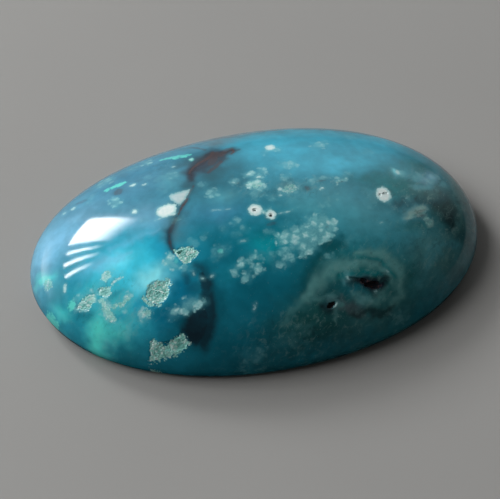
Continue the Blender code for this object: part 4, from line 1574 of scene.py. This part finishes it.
class SCENE_OT_gem_silica_studio(bpy.types.Operator):
    """Make the floor, the lights and the camera"""

    bl_idname = "scene.gem_silica_studio"
    bl_label = "Make the studio"

    def execute(self, context):
        studio = context.scene.stone_studio
        context.scene.view_settings.view_transform = "Standard"
        self.make_floor(context, studio)
        self.make_wall(context, studio)
        self.make_card(context)
        self.make_lights(context, studio)
        self.make_camera(context, studio)
        return {"FINISHED"}

    def make_floor(self, context, studio):
        """Lay the square floor under the stone."""
        shape = bmesh.new()
        bmesh.ops.create_grid(shape, x_segments=1, y_segments=1, size=studio.floor_size / 2)
        mesh = bpy.data.meshes.new("floor")
        shape.to_mesh(mesh)
        shape.free()
        mesh.materials.append(floor_material(studio.floor_colour))
        floor = bpy.data.objects.new("floor", mesh)
        context.scene.collection.objects.link(floor)

    def make_wall(self, context, studio):
        """Stand the curved pale wall behind the stone, out of the camera's sight and casting no shadow."""
        shape = bmesh.new()
        foot = bmesh.ops.create_vert(shape, co=direction(WALL_TURNS[0], 0) * WALL_DISTANCE)["vert"]
        bmesh.ops.extrude_vert_indiv(shape, verts=foot)
        shape.verts.ensure_lookup_table()
        shape.verts[1].co.z = WALL_HEIGHT
        bmesh.ops.spin(
            shape, geom=shape.verts[:] + shape.edges[:], cent=(0, 0, 0), axis=(0, 0, 1),
            angle=WALL_TURNS[1] - WALL_TURNS[0], steps=WALL_STEPS,
        )
        mesh = bpy.data.meshes.new("wall")
        shape.to_mesh(mesh)
        shape.free()
        mesh.shade_smooth()
        mesh.materials.append(wall_material(studio.wall_light))
        wall = bpy.data.objects.new("wall", mesh)
        wall.visible_camera = False
        wall.visible_shadow = False
        context.scene.collection.objects.link(wall)

    def make_card(self, context):
        """Lay the black card on the floor, seen only in the polish."""
        shape = bmesh.new()
        middle = bmesh.ops.create_vert(shape, co=(0, 0, CARD_LIFT))["vert"]
        start = direction(CARD_TURN - CARD_HALF_TURN, 0) * CARD_REACH
        made = bmesh.ops.extrude_vert_indiv(shape, verts=middle)["verts"]
        bmesh.ops.translate(shape, vec=start, verts=made)
        bmesh.ops.spin(
            shape, geom=shape.verts[:] + shape.edges[:], cent=(0, 0, 0), axis=(0, 0, 1),
            angle=2 * CARD_HALF_TURN, steps=WALL_STEPS,
        )
        bmesh.ops.remove_doubles(shape, verts=shape.verts, dist=CARD_LIFT)
        mesh = bpy.data.meshes.new("black_card")
        shape.to_mesh(mesh)
        shape.free()
        mesh.materials.append(card_material())
        card = bpy.data.objects.new("black_card", mesh)
        card.visible_camera = False
        card.visible_diffuse = False
        card.visible_transmission = False
        card.visible_shadow = False
        context.scene.collection.objects.link(card)

    def make_lights(self, context, studio):
        """Light the stone evenly from the room, through the window, from its sill and softly beside it."""
        world = bpy.data.worlds.new("Room")
        context.scene.world = world
        world.use_nodes = True
        room = world.node_tree.nodes["Background"]
        room.inputs["Color"].default_value = ROOM_COLOUR
        room.inputs["Strength"].default_value = studio.room_light
        world.cycles_visibility.glossy = False
        self.make_window(studio)
        turn, distance, width, low, high = SILL
        outward = direction(math.radians(turn), 0)
        place = outward * distance + Vector((0, 0, (low + high) / 2))
        sill = area_light("sill", place, -outward, (width, high - low), studio.sill_light)
        fade_light(sill.data, *SILL_FADE)
        turn, rise, distance, width, height = SOFT_LIGHT
        outward = direction(math.radians(turn), math.radians(rise))
        soft = area_light("soft_light", outward * distance, -outward, (width, height), studio.soft_light)
        soft.visible_glossy = False

    def make_window(self, studio):
        """Hang the window panes where the dome mirrors them in the highlight."""
        outward = direction(WINDOW_TURN, 0)
        sideways = Vector((outward.y, -outward.x, 0))
        for number, (across, up, half_width, half_height, lean) in enumerate(PANES, 1):
            place = HIGHLIGHT + (outward + sideways * across + Vector((0, 0, up))) * WINDOW_DISTANCE
            size = (2 * half_width * WINDOW_DISTANCE, 2 * half_height * WINDOW_DISTANCE)
            pane = area_light(f"window_{number}", place, -outward, size, studio.window_light, lean)
            fade_light(pane.data, *PANE_FADE)

    def make_camera(self, context, studio):
        """Set the camera at the viewing angle."""
        lens = bpy.data.cameras.new("camera")
        lens.lens = studio.lens
        lens.sensor_width = SENSOR_WIDTH
        lens.clip_start = NEAREST_VIEW
        camera = bpy.data.objects.new("camera", lens)
        context.scene.collection.objects.link(camera)
        back = direction(studio.camera_turn, studio.camera_rise)
        camera.location = AIM + back * studio.camera_distance
        camera.rotation_euler = (-back).to_track_quat("-Z", "Y").to_euler()
        context.scene.camera = camera


class VIEW3D_PT_gem_silica(bpy.types.Panel):
    """Lists the steps that make the stone and its studio"""

    bl_idname = "VIEW3D_PT_gem_silica"
    bl_label = "Gem silica cabochon"
    bl_space_type = "VIEW_3D"
    bl_region_type = "UI"
    bl_category = "Gem silica"

    def draw(self, context):
        scene = context.scene
        for operator, settings in (
            (MESH_OT_gem_silica_stone, (scene.stone_sizes, scene.stone_colours)),
            (SCENE_OT_gem_silica_studio, (scene.stone_studio,)),
        ):
            self.layout.operator(operator.bl_idname)
            for group in settings:
                for name in group.bl_rna.properties.keys():
                    if name not in ("rna_type", "name"):
                        self.layout.prop(group, name)


CLASSES = (
    StoneSizes,
    StoneColours,
    StudioSettings,
    MESH_OT_gem_silica_stone,
    SCENE_OT_gem_silica_studio,
    VIEW3D_PT_gem_silica,
)


def register():
    for made in CLASSES:
        bpy.utils.register_class(made)
    bpy.types.Scene.stone_sizes = PointerProperty(type=StoneSizes)
    bpy.types.Scene.stone_colours = PointerProperty(type=StoneColours)
    bpy.types.Scene.stone_studio = PointerProperty(type=StudioSettings)


def unregister():
    del bpy.types.Scene.stone_studio
    del bpy.types.Scene.stone_colours
    del bpy.types.Scene.stone_sizes
    for made in reversed(CLASSES):
        bpy.utils.unregister_class(made)


def main():
    """Make the whole scene."""
    register()
    bpy.ops.scene.gem_silica_studio()
    bpy.ops.mesh.gem_silica_stone()


if __name__ == "__main__":
    main()
